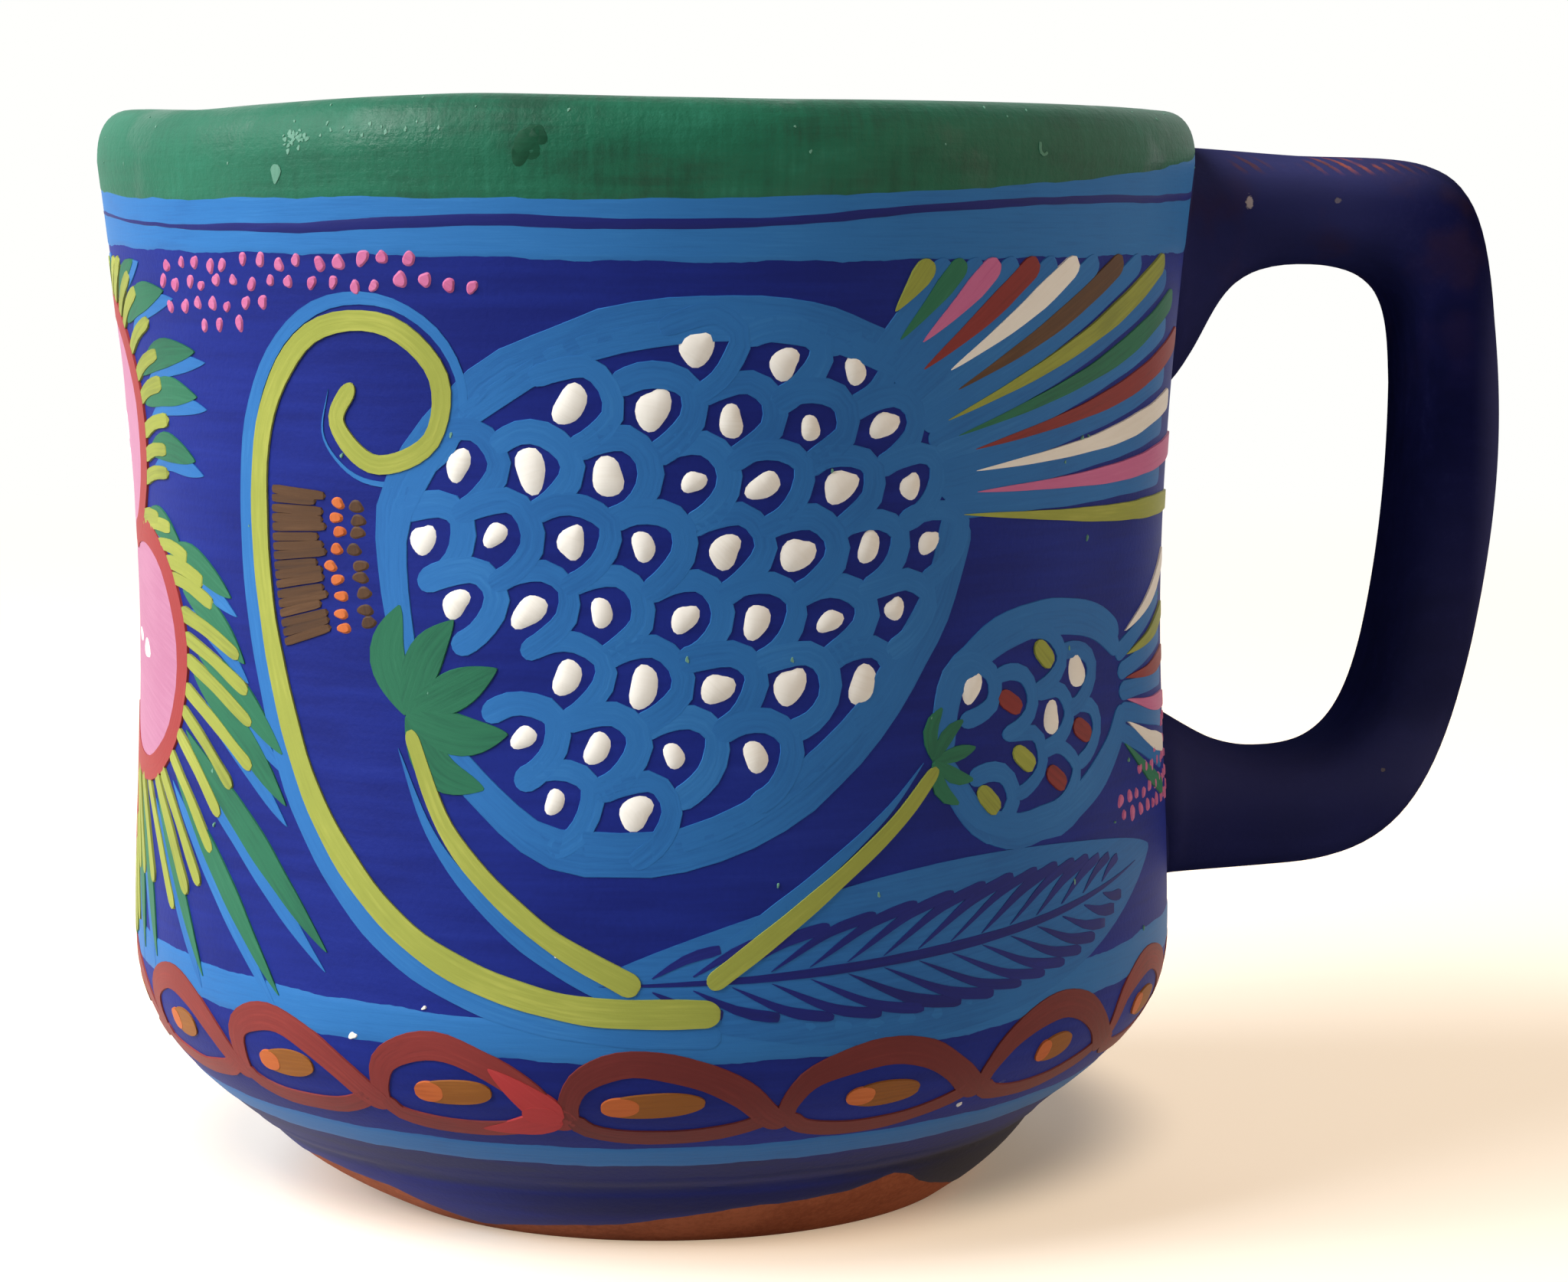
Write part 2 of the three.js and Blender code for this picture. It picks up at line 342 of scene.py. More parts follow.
class Finish(Shading):
    """A material in the making."""

    def __init__(self, name, roughness=0.5, specular=0.12, **fixed):
        self.material = bpy.data.materials.new(name)
        self.material.use_nodes = True
        super().__init__(self.material.node_tree)
        self.shader = self.nodes["Principled BSDF"]
        self.shader.inputs["Roughness"].default_value = roughness
        self.shader.inputs["Specular IOR Level"].default_value = specular
        for socket, level in fixed.items():
            self.shader.inputs[socket.replace("_", " ")].default_value = level

    def vector(self, operation, first, second):
        return self.node("ShaderNodeVectorMath", {"operation": operation}, {0: first, 1: second})

    def length(self, vector):
        return self.node("ShaderNodeVectorMath", {"operation": "LENGTH"}, {0: vector}, "Value")

    def place(self):
        """Where on the object, in millimetres."""
        spot = self.node("ShaderNodeTexCoord", output="Object")
        return self.node("ShaderNodeVectorMath", {"operation": "SCALE"}, {0: spot, "Scale": 1 / MM})

    def stretched(self, vector, x, y, z):
        return self.vector("MULTIPLY", vector, (x, y, z))

    def parts(self, vector):
        x = self.node("ShaderNodeSeparateXYZ", inputs={0: vector})
        return x, x.other(1), x.other(2)

    def noise(self, vector, scale, detail=3.0, roughness=0.5):
        return self.node(
            "ShaderNodeTexNoise", None,
            {"Vector": vector, "Scale": scale, "Detail": detail, "Roughness": roughness})

    def spots(self, vector, scale):
        """Distance to scattered spots and each spot's own number."""
        cells = self.node("ShaderNodeTexVoronoi", None, {"Vector": vector, "Scale": scale})
        return cells, self.parts(cells.other("Color"))[0]

    def mark(self, vector, place, wide, high, grain):
        """One small spot of wear at a place, with a ragged edge."""
        away = self.length(self.stretched(self.vector("SUBTRACT", vector, place), 1 / wide, 0.7, 1 / high))
        return 1 - (away + grain * 1.9).ramp(1.65, 1.95)

    def mix(self, factor, first, second):
        return self.node(
            "ShaderNodeMix", {"data_type": "RGBA"}, {0: factor, 6: first, 7: second}, output=2)

    def done(self, colour, roughness=None, relief=None, depth=0.05):
        self.put(self.shader.inputs["Base Color"], colour)
        if roughness is not None:
            self.put(self.shader.inputs["Roughness"], roughness)
        if relief is not None:
            bump = self.node(
                "ShaderNodeBump", None, {"Strength": 1.0, "Distance": depth * MM, "Height": relief})
            self.put(self.shader.inputs["Normal"], bump)
        return self.material


CLAY = rgb(198, 114, 78)
CLAY_DARK = rgb(166, 90, 60)
COBALT = rgb(26, 41, 129)
COBALT_DARK = rgb(21, 33, 113)
COBALT_PALE = rgb(33, 49, 140)
UNDERSIDE_SHADE_AND_SHEEN = rgb(42, 46, 82)
NAVY = rgb(27, 29, 78)
NAVY_DARK = rgb(20, 22, 60)
NAVY_PALE = rgb(42, 43, 92)
CHIP = rgb(196, 196, 212)
HANDLE_MARKS = [
    ((49.5, -6.0, 81.3), 0.35, 0.75, rgb(172, 160, 160)),
    ((57.1, -6.0, 81.4), 0.3, 0.3, rgb(104, 98, 112)),
    ((71.6, -4.0, 74.2), 0.5, 0.8, rgb(14, 13, 24)),
    ((61.8, -6.2, 33.2), 0.25, 0.25, rgb(110, 104, 112)),
]


def cobalt_coat(finish, spot):
    """The cobalt ground: its colour and the level of its brush marks, with a few small chips and a painted
    band of shade and sheen on the underside.
    """
    z = finish.parts(spot)[2]
    cloud = finish.noise(spot, 0.04, 3.0)
    level_strokes = finish.noise(finish.stretched(spot, 0.07, 0.07, 0.9), 1.0, 3.0, 0.55)
    grain = finish.noise(spot, 2.4, 3.0, 0.6)
    streak = level_strokes * 0.4 + cloud * 0.5 + grain * 0.1
    colour = finish.mix(streak.ramp(0.38, 0.58), COBALT_DARK, COBALT)
    colour = finish.mix(streak.ramp(0.54, 0.7), colour, COBALT_PALE)
    # Painted light: a greyer band on the underside above the foot stands for its shade and for light thrown
    # up onto it from the floor.
    under = z.ramp(5.2, 5.9) * (1 - z.ramp(8.4, 10.4))
    colour = finish.mix(under * (level_strokes.ramp(0.35, 0.6) * 0.4 + 0.42), colour, UNDERSIDE_SHADE_AND_SHEEN)
    distance, number = finish.spots(finish.stretched(spot, 1.0, 1.0, 0.6), 0.07)
    chips = (1 - (distance + grain * 0.06).ramp(0.055, 0.085)) * number.ramp(0.62, 0.63)
    chips = chips * z.ramp(9, 10)
    colour = finish.mix(chips * 0.8, colour, CHIP)
    return colour, streak, grain * 0.5 + level_strokes * 0.4 - chips * 0.8


def cobalt_ground():
    """The wall's cobalt, and bare clay below it."""
    finish = Finish("cobalt_ground", specular=0.11)
    spot = finish.place()
    z = finish.parts(spot)[2]
    colour, streak, relief = cobalt_coat(finish, spot)
    bare = 1 - z.ramp(6.4, 6.6)
    fired = finish.noise(spot, 0.12, 2.0) * 0.5 + finish.noise(spot, 1.8, 4.0, 0.7) * 0.5
    clay = finish.mix(fired.ramp(0.36, 0.64), CLAY_DARK, CLAY)
    colour = finish.mix(bare, colour, clay)
    return finish.done(colour, 0.5 + streak * 0.12 + bare * 0.2, relief + bare * 0.4, 0.06)


def foot_coat():
    """The cobalt that runs down on the foot, with painted shade in a band across its front and right and a
    painted deep shadow at its right end.
    """
    finish = Finish("foot_cobalt")
    spot = finish.place()
    x, _, z = finish.parts(spot)
    colour, streak, relief = cobalt_coat(finish, spot)
    # Painted shade: a darker band low on the foot, where the belly above it shades it.
    painted_foot_shade = z.ramp(2.8, 3.8) * (1 - z.ramp(4.9, 5.6)) * x.ramp(-24, -4)
    colour = finish.mix(painted_foot_shade * 0.6, colour, rgb(20, 24, 58))
    # Painted shadow: the foot's right end made nearly black, where it lies in shade.
    colour = finish.mix(x.ramp(6, 22) * (1 - z.ramp(6.0, 7.2)) * 0.94, colour, rgb(8, 8, 26))
    return finish.done(colour, 0.5 + streak * 0.12, relief, 0.06)


def handle_paint():
    """The handle's navy, with painted shade on the grip and painted light on the arms, lighter along the
    top, with a painted highlight and sheen on its edges, and rubbed through along the top.
    """
    finish = Finish("handle_navy", specular=0.0)
    spot = finish.place()
    x, y, z = finish.parts(spot)
    cloud = finish.noise(spot, 0.07, 3.0)
    grain = finish.noise(spot, 2.2, 4.0, 0.65)
    brushed = finish.noise(finish.stretched(spot, 0.12, 0.9, 0.35), 1.0, 3.0)
    colour = finish.mix((cloud * 0.6 + brushed * 0.4).ramp(0.35, 0.62), NAVY_DARK, NAVY)
    colour = finish.mix((brushed * 0.5 + grain * 0.5).ramp(0.52, 0.74) * 0.5, colour, NAVY_PALE)
    grip = x.ramp(57, 68)
    # Painted light and shade: the arms near the wall lighter and the grip darker, as the grip lies on the
    # side away from the lamps.
    colour = finish.mix(0.45 - grip * 0.45, colour, rgb(60, 64, 118))
    colour = finish.mix(grip * 0.3, colour, rgb(9, 13, 46))
    stain = finish.noise(spot, 0.14, 3.0).ramp(0.5, 0.68) * z.ramp(62, 80) * 0.3
    colour = finish.mix(stain, colour, rgb(64, 42, 44))
    # Lighter along the top; a painted highlight on the grip's outer edge and painted sheen on the lower arm
    # and heel.
    lighter_top = z.ramp(80.5, 85) * (1 - x.ramp(68, 72))
    painted_edge_highlight = x.ramp(69, 72.5) * (1 - z.ramp(66, 80)) * 1.7
    painted_arm_sheen = z.ramp(28, 33) * (1 - z.ramp(34, 40)) * 0.7
    painted_heel_sheen = grip * (1 - z.ramp(42, 64)) * 0.5
    lighter_top_and_painted_sheen = lighter_top + painted_edge_highlight + painted_arm_sheen + painted_heel_sheen
    colour = finish.mix(lighter_top_and_painted_sheen * 0.3, colour, rgb(84, 87, 138))
    slant = x + y * 0.3 + z * 0.8
    rhythm = (slant * 4.6 + finish.noise(spot, 0.3, 2.0) * 3.0).math("SINE")
    along_top = x.ramp(47.5, 49.5) * (1 - x.ramp(67.0, 68.5))
    along_top = along_top * z.ramp(83.4, 84.5) * (1 - y.ramp(-4.5, -1.0))
    patches = finish.noise(spot, 0.2, 1.0).ramp(0.36, 0.52)
    rubbed = along_top * (rhythm * 0.45 + grain * 0.9).ramp(0.5, 0.8) * patches
    redder = finish.noise(spot, 0.16, 1.0).ramp(0.45, 0.65)
    colour = finish.mix(rubbed * 0.65, colour, finish.mix(redder, rgb(104, 66, 54), rgb(186, 98, 50)))
    distance, number = finish.spots(finish.stretched(spot, 1.0, 1.0, 0.7), 0.085)
    chips = (1 - (distance + grain * 0.06).ramp(0.05, 0.075)) * number.ramp(0.64, 0.65)
    colour = finish.mix(chips * 0.85, colour, rgb(158, 146, 152))
    for place, wide, high, shade in HANDLE_MARKS:
        mark = finish.mark(spot, place, wide, high, grain)
        colour = finish.mix(mark, colour, shade)
        chips = chips + mark
    roughness = 0.5 + brushed * 0.16 + rubbed * 0.15
    relief = grain * 0.6 + brushed * 0.4 - rubbed * 0.5 - chips * 0.7
    return finish.done(colour, roughness, relief, 0.06)


def clear_glaze():
    """Clear glaze over red clay, with painted shade darkening it towards the inside floor."""
    finish = Finish("clear_glaze", roughness=0.16, specular=0.4, Coat_Weight=0.35, Coat_Roughness=0.1)
    spot = finish.place()
    z = finish.parts(spot)[2]
    cloud = finish.noise(spot, 0.06, 4.0, 0.6)
    rings = finish.noise(finish.stretched(spot, 0.02, 0.02, 0.5), 1.0, 2.0)
    tone = (cloud * 0.6 + rings * 0.4).ramp(0.35, 0.65)
    colour = finish.mix(tone, rgb(98, 45, 26), rgb(142, 72, 40))
    # Painted shade: darker towards the floor of the cup.
    colour = finish.mix(1 - z.ramp(8, 22), colour, rgb(106, 51, 32))
    return finish.done(colour, None, rings * 0.8 + cloud * 0.4, 0.12)


def brush_paint(name, main, deep, pale, roughness=0.52):
    """Hand paint: streaks that run with each stroke, and more or less paint on the brush."""
    finish = Finish(name, specular=0.14)
    spot = finish.place()
    brush = finish.node("ShaderNodeUVMap", {"uv_map": "brush"})
    load = finish.node("ShaderNodeAttribute", {"attribute_name": "load"}, output="Fac")
    hairs = finish.noise(finish.stretched(brush, 0.2, 3.4, 1.0), 1.0, 3.0, 0.6)
    cloud = finish.noise(spot, 0.12, 3.0)
    grain = finish.noise(spot, 2.6, 3.0, 0.6)
    tone = hairs * 0.45 + cloud * 0.35 + load * 0.2
    colour = finish.mix(tone.ramp(0.3, 0.52), deep, main)
    colour = finish.mix(tone.ramp(0.52, 0.74), colour, pale)
    return finish.done(colour, roughness - 0.05 + hairs * 0.1, hairs * 0.7 + grain * 0.4, 0.03)


def lip_gloss(name, main, deep, pale):
    """The lip's green, rubbed to a patchy gloss, with darker blots, level brush marks, painted shade towards
    the right and painted light towards the left.
    """
    finish = Finish(name, specular=0.23)
    spot = finish.place()
    brush = finish.node("ShaderNodeUVMap", {"uv_map": "brush"})
    hairs = finish.noise(finish.stretched(brush, 0.06, 1.6, 1.0), 1.0, 4.0, 0.6)
    cloud = finish.noise(finish.stretched(brush, 0.08, 0.2, 1.0), 1.0, 4.0, 0.6)
    grain = finish.noise(spot, 1.7, 4.0, 0.65)
    upright = finish.noise(finish.stretched(brush, 1.3, 0.12, 1.0), 1.0, 3.0, 0.6)
    tone = hairs * 0.14 + cloud * 0.6 + upright * 0.26
    colour = finish.mix(tone.ramp(0.34, 0.54), deep, main)
    colour = finish.mix(tone.ramp(0.52, 0.68), colour, pale)
    x = finish.parts(spot)[0]
    # Painted light and shade: the lip darker towards the right, away from the lamps, and paler towards the
    # lit left.
    colour = finish.mix(x.ramp(0, 36) * 0.55, colour, deep)
    colour = finish.mix((1 - x.ramp(-40, -6)) * 0.5, colour, pale)
    distance, number = finish.spots(finish.stretched(spot, 1.0, 1.0, 0.55), 0.06)
    blots = (1 - (distance + grain * 0.12).ramp(0.12, 0.2)) * number.ramp(0.6, 0.62)
    colour = finish.mix(blots * 0.5, colour, deep)
    rubbed = finish.noise(spot, 0.12, 3.0).ramp(0.48, 0.64)
    return finish.done(colour, 0.5 - rubbed * 0.2 + grain * 0.1, grain * 0.8 + hairs * 0.4, 0.11)


# Forms that are turned or drawn out

ROLL = 0.25


def rolled_ring(segments, sides):
    """A ring one unit in radius, of a roll that is then laid on the wall."""
    clear_bench()
    bpy.ops.mesh.primitive_torus_add(
        major_segments=segments, minor_segments=sides, major_radius=1, minor_radius=ROLL)
    return bpy.context.object


def turned_wall(section, segments):
    """One ring, drawn up, in and out along a section, closed at both ends."""
    clear_bench()
    bpy.ops.mesh.primitive_circle_add(vertices=segments, radius=section[0][0] * MM, location=(0, 0, 0))
    wall = bpy.context.object
    bpy.ops.object.mode_set(mode="EDIT")
    bpy.ops.mesh.select_all(action="SELECT")
    bpy.ops.transform.translate(value=(0, 0, section[0][1] * MM))
    for (r0, z0), (r1, z1) in zip(section, section[1:]):
        bpy.ops.mesh.extrude_edges_move(TRANSFORM_OT_translate={"value": (0, 0, (z1 - z0) * MM)})
        bpy.ops.transform.resize(value=(r1 / r0, r1 / r0, 1))
    close_ends()
    set_points(wall.data, thrown(get_points(wall.data) / MM) * MM)
    return wall


def glaze_section():
    """The lining as a thin closed shell: up its seat on the wall, over its edge and down its wet face."""
    reach = np.interp(GLAZE_TOP, [WAIST[1], LIP[1]], [INSIDE_RADIUS, RIM_RADIUS - LIP_THICKNESS])

    def face(depth):
        radius = INSIDE_RADIUS - depth
        return np.concatenate([
            np.linspace((reach - depth, GLAZE_TOP - depth * 0.5), (radius, WAIST[1]), 14),
            np.linspace((radius, WAIST[1]), (radius, CORNER_MIDDLE[1]), 10)[1:],
            arc(CORNER_MIDDLE, INSIDE_CORNER - depth, INSIDE_CORNER - depth, 0, -90, 12)[1:],
            np.linspace((CORNER_MIDDLE[0], FLOOR + depth), (2.0, FLOOR + depth), 5)[1:],
        ])

    return np.concatenate([face(0.05)[::-1], [(reach - 0.3, GLAZE_TOP + 0.12)], face(0.62)])


# The handle's two edges in its own plane: upper arm, shoulder, grip, heel and lower arm

OUTER_EDGE = [
    ((40, 86.2), (45, 86.2), (50, 85.6), (55, 85.3)),
    ((55, 85.3), (67.6, 84.9), (71, 86.4), (72.3, 71.5)),
    ((72.3, 71.5), (73.3, 63), (73.2, 55.5), (70.8, 43.8)),
    ((70.8, 43.8), (67.8, 30.2), (64.2, 25.2), (54.6, 24.6)),
    ((54.6, 24.6), (50, 24.3), (45, 24), (40, 23.8)),
]
INNER_EDGE = [
    ((40, 63.6), (48.8, 67), (44.6, 76), (55.6, 76.1)),
    ((55.6, 76.1), (64.5, 76.2), (64.4, 72), (64.6, 65.6)),
    ((64.6, 65.6), (64.5, 59), (64, 51.6), (62.4, 44)),
    ((62.4, 44), (60.6, 36.2), (58, 34.5), (52.8, 34.5)),
    ((52.8, 34.5), (47.8, 34.5), (45.8, 36.9), (40, 40)),
]
CURVE_STEPS = 22
HANDLE_STEPS = CURVE_STEPS * len(OUTER_EDGE)
GRIP_WIDTH = 13.0
ROOT_WIDTH = 16.6
HANDLE_SQUARENESS = 2.7


def drawn_bar(sides, steps):
    """A straight bar of unit section, drawn out along X one unit at a time and capped."""
    clear_bench()
    bpy.ops.mesh.primitive_circle_add(vertices=sides, radius=1, rotation=(0, math.pi / 2, 0))
    bpy.ops.object.transform_apply(location=False, rotation=True, scale=False)
    bar = bpy.context.object
    bpy.ops.object.mode_set(mode="EDIT")
    bpy.ops.mesh.select_all(action="SELECT")
    for _ in range(steps):
        bpy.ops.mesh.extrude_edges_move(TRANSFORM_OT_translate={"value": (1, 0, 0)})
    close_ends()
    return bar


def root_width(x):
    """The handle's width, which flares out at the wall."""
    near = np.clip(1 - (x - 43.5) / 6.5, 0, 1)
    return GRIP_WIDTH + (ROOT_WIDTH - GRIP_WIDTH) * (1 - np.sqrt(1 - near * near))


def joined(curves):
    """Curves that follow on from each other, as one line."""
    lines = [bezier(*curve, CURVE_STEPS) for curve in curves]
    return np.concatenate([lines[0]] + [line[1:] for line in lines[1:]])


def pulled_handle():
    """The bar bent round between the handle's two edges."""
    bar = drawn_bar(40, HANDLE_STEPS)
    points = get_points(bar.data)
    step = np.rint(points[:, 0]).astype(int)
    outer, inner = joined(OUTER_EDGE), joined(INNER_EDGE)
    middle = (outer + inner) / 2
    half = (outer - inner) / 2
    share = np.linspace(0, 1, HANDLE_STEPS + 1)
    width = root_width(middle[:, 0]) / 2 * (1 + 0.025 * np.sin(share * 9 + 0.4))
    across = squared(points[:, 1], HANDLE_SQUARENESS) * width[step]
    out = squared(points[:, 2], HANDLE_SQUARENESS)
    laid = middle[step] + half[step] * out[:, None]
    sway = 0.25 * np.sin(share * 5 + 1)
    set_points(bar.data, thrown(np.stack([laid[:, 0], across + sway[step], laid[:, 1]], 1), 0.0) * MM)
    return bar


def slip_bead(low, high, width):
    """The roll of slip smoothed round a handle's root, lying on the wall."""
    bead = rolled_ring(72, 12)
    points = get_points(bead.data)
    turn = np.arctan2(points[:, 1], points[:, 0])
    grow = -0.1 + 0.8 * (np.hypot(points[:, 0], points[:, 1]) - 1) / ROLL
    lift = points[:, 2] / ROLL
    y = squared(np.cos(turn), HANDLE_SQUARENESS) * (width / 2 + grow)
    z = (low + high) / 2 + squared(np.sin(turn), HANDLE_SQUARENESS) * ((high - low) / 2 + grow)
    radius = np.interp(z, OUTSIDE[:, 1], OUTSIDE[:, 0])
    angle = np.arcsin(y / radius)
    radius = radius + np.where(lift > 0, 0.35 * lift, 0.3 * lift)
    laid = np.stack([radius * np.cos(angle), radius * np.sin(angle), z], 1)
    set_points(bead.data, thrown(laid, 0.0) * MM)
    return bead


# Brush work

def take_form(piece):
    """Keeps a piece's points and faces and takes the piece away."""
    points = get_points(piece.data)
    faces = [tuple(face.vertices) for face in piece.data.polygons]
    mesh = piece.data
    bpy.data.objects.remove(piece)
    bpy.data.meshes.remove(mesh)
    return points, faces


def flattened_ball(sides, rings, axis):
    """A ball flattened along one axis, the body of a stroke or a dot before it is laid."""
    clear_bench()
    bpy.ops.mesh.primitive_uv_sphere_add(segments=sides, ring_count=rings, radius=1)
    ball = bpy.context.object
    size = [1, 1, 1]
    size[axis] = 0.4
    bpy.ops.object.mode_set(mode="EDIT")
    bpy.ops.mesh.select_all(action="SELECT")
    bpy.ops.transform.resize(value=size, center_override=(0, 0, 0))
    bpy.ops.object.mode_set(mode="OBJECT")
    return take_form(ball)


SHORT_STROKE = flattened_ball(8, 8, 1)
MIDDLE_STROKE = flattened_ball(8, 18, 1)
LONG_STROKE = flattened_ball(8, 36, 1)
VINE_STROKE = flattened_ball(12, 120, 1)
BROAD_STROKE = flattened_ball(32, 32, 1)
DAB = flattened_ball(18, 4, 2)
SUNK = -0.08
WALL_EDGE = -0.01
CRISP_PAINT = 24
SOFT_PAINT = 60


def brush_for(length, width):
    """The stroke's body with as many rings as its length needs."""
    if width > 5:
        return BROAD_STROKE
    if length > 60:
        return VINE_STROKE
    if length > 18:
        return LONG_STROKE
    return MIDDLE_STROKE if length > 7.5 or width > 1.6 else SHORT_STROKE


def stroke_width(kind, t, length, width):
    """How the width swells and dies along a stroke, as a share of its full width."""
    near = np.minimum(t, 1 - t) * length / max(0.6 * width, min(0.1 * length, 1.0))
    body = np.sqrt(np.clip(1 - (1 - np.minimum(near, 1)) ** 2, 0, 1))
    if kind == "flick":
        body = np.minimum(body, np.clip((1 - t) * 1.5, 0, 1) ** 0.75)
    if kind == "vine":
        body = body * (1.1 - 0.42 * t)
    if kind == "leaf":
        body = np.minimum(body, np.sin(np.pi * t) ** 0.8)
    if kind == "bow":
        body = body * np.clip(0.6 + 1.3 * t, 0, 1)
    if kind == "oval":
        body = np.clip(1 - (2 * t - 1) ** 2, 0, 1) ** 0.42
    return body


class Paint:
    """One colour on the palette. It gathers strokes and dots laid on the wall and becomes one piece."""

    def __init__(self, name, lift, relief, material):
        self.name = name
        self.lift = lift
        self.relief = relief
        self.material = material
        self.points, self.faces, self.brush, self.load = [], [], [], []
        self.count = 0

    def lay(self, form, s, p, rise, u, v):
        points, faces = form
        self.points.append(on_wall(s, p, rise))
        self.faces.extend(tuple(corner + self.count for corner in face) for face in faces)
        offset = chance.uniform(0, 400)
        self.brush.append(np.stack([u + offset, v + offset * 0.37], 1))
        self.load.append(np.full(len(points), chance.random()))
        self.count += len(points)

    def stroke(self, line, width, kind="round", wobble=0.06):
        line = through(line, 160) if len(line) > 2 else np.linspace(line[0], line[1], 160)
        run = lengths(line)
        length = run[-1]
        points, _ = form = brush_for(length, width)
        t = 0.05 * np.arccos(np.clip(points[:, 2], -1, 1)) / np.pi + 0.95 * (1 - points[:, 2]) / 2
        girth = np.maximum(np.hypot(points[:, 0], points[:, 1]), 1e-3)
        across = squared(points[:, 0] / girth, 3.3)
        ahead = np.gradient(line, run, axis=0)
        middle = np.stack([np.interp(t * length, run, line[:, k]) for k in (0, 1)], 1)
        ahead = np.stack([np.interp(t * length, run, ahead[:, k]) for k in (0, 1)], 1)
        ahead /= np.hypot(ahead[:, 0], ahead[:, 1])[:, None]
        side = np.stack([-ahead[:, 1], ahead[:, 0]], 1)
        body = stroke_width(kind, t, length, width)
        phase = chance.uniform(0, 6.3)
        ripple = np.sin(t * length / 2.1 + phase) * 0.6 + np.sin(t * length / 0.9 + 2 * phase) * 0.4
        half = width / 2 * body * (1 + wobble * ripple)
        laid = middle + side * (across * half)[:, None]
        top = self.lift + self.relief * body ** 0.5 + chance.uniform(0, 0.012)
        rise = np.where(points[:, 1] > 1e-3, top, np.where(points[:, 1] < -1e-3, SUNK, WALL_EDGE))
        self.lay(form, laid[:, 0], laid[:, 1], rise, t * length, across * half)

    def dot(self, place, across, upright=None, turn=0.0, uneven=0.12):
        points, _ = DAB
        upright = upright or across
        angle = np.arctan2(points[:, 1], points[:, 0])
        phase = chance.uniform(0, 6.3)
        edge = 1 + uneven * (np.sin(2 * angle + phase) * 0.5 + np.sin(3 * angle - phase) * 0.4)
        edge = edge + uneven * 0.9 * np.maximum(0, np.cos(angle - 1.1 - 0.3 * math.sin(phase))) ** 8
        x = points[:, 0] * across * edge
        y = points[:, 1] * upright * edge
        cos, sin = math.cos(turn), math.sin(turn)
        dome = self.lift + self.relief * np.maximum(points[:, 2], 0) ** 0.7
        rise = np.where(points[:, 2] < -1e-3, SUNK, dome)
        rise = np.where(np.abs(points[:, 2]) < 1e-3, WALL_EDGE, rise)
        self.lay(DAB, place[0] + x * cos - y * sin, place[1] + x * sin + y * cos, rise, x, y)

    def piece(self, crisp):
        mesh = bpy.data.meshes.new(self.name)
        mesh.from_pydata((np.concatenate(self.points) * MM).tolist(), [], self.faces)
        painted = bpy.data.objects.new(self.name, mesh)
        bpy.context.scene.collection.objects.link(painted)
        mark_brush(mesh, np.concatenate(self.brush), np.concatenate(self.load))
        finish_piece(painted, self.name, "painted_clay", self.material, crisp)


def mark_brush(mesh, brush, load):
    """Writes where each point lies on its stroke, for the streaks in the paint."""
    corners = np.empty(len(mesh.loops), dtype=np.int32)
    mesh.loops.foreach_get("vertex_index", corners)
    while mesh.uv_layers:
        mesh.uv_layers.remove(mesh.uv_layers[0])
    mesh.uv_layers.new(name="brush").data.foreach_set("uv", brush[corners].astype(np.float32).ravel())
    mesh.attributes.new("load", "FLOAT", "POINT").data.foreach_set("value", load.astype(np.float32))


def painted_band(name, low, high, material, height=0.05, rows=16, segments=360, ragged=0.08):
    """A band of paint right round the cup between two wandering edges."""
    band = rolled_ring(segments, 2 * rows)
    points = get_points(band.data)
    s = np.arctan2(points[:, 1], points[:, 0]) * ROUND
    turn = np.arctan2(points[:, 2], np.hypot(points[:, 0], points[:, 1]) - 1)
    top = turn >= -1e-4
    across = np.clip(np.where(top, 1 - turn / np.pi, 1 + turn / np.pi), 0, 1)
    below = low(s) + ragged * (np.sin(s * 1.7) * 0.5 + np.sin(s * 0.61 + 2) + np.sin(s * 3.9 + 1) * 0.3)
    above = high(s) + ragged * (np.sin(s * 1.3 + 1) * 0.5 + np.sin(s * 0.53) + np.sin(s * 4.3) * 0.3)
    p = below + (above - below) * across
    rise = np.where(top, height, SUNK)
    rise = np.where(np.isclose(across, 0) | np.isclose(across, 1), WALL_EDGE, rise)
    set_points(band.data, on_wall(s, p, rise) * MM)
    mark_brush(band.data, np.stack([s, p], 1), np.full(len(s), 0.5))
    finish_piece(band, name, "painted_clay", material, CRISP_PAINT)


# Ornament, laid on the unrolled wall

def turned_by(place, angle, ahead, aside=0.0):
    """A point ahead of and beside a place, seen along a direction; zero is up."""
    return (place[0] + ahead * math.sin(angle) + aside * math.cos(angle),
            place[1] + ahead * math.cos(angle) - aside * math.sin(angle))


def bowed(start, end, turn, by):
    """The middle of a stroke, pushed aside."""
    return turned_by(((start[0] + end[0]) / 2, (start[1] + end[1]) / 2), turn, 0, by)


def along(line, run, at):
    """A place on a line and the direction that the line has there."""
    place = tuple(np.interp(at, run, line[:, i]) for i in (0, 1))
    after = tuple(np.interp(at + 1, run, line[:, i]) for i in (0, 1))
    return place, math.atan2(after[0] - place[0], after[1] - place[1])


def shaken(line, by=0.15):
    """A line drawn by hand, each point a little off."""
    return [(s + chance.uniform(-by, by), p + chance.uniform(-by, by)) for s, p in line]


def kept_in_field(start, end):
    """A stroke's end, drawn back along the stroke to where the field of the ornament ends."""
    limit = FIELD_HIGH if end[1] > start[1] else FIELD_LOW
    share = (limit - start[1]) / (end[1] - start[1]) if abs(end[1] - start[1]) > 1e-6 else 1
    share = min(1, max(0, share))
    return (start[0] + (end[0] - start[0]) * share, start[1] + (end[1] - start[1]) * share), share


ARCH = [(-0.5, -0.04), (-0.47, 0.42), (-0.31, 0.82), (0.0, 1.0), (0.31, 0.82), (0.47, 0.42), (0.5, -0.04)]


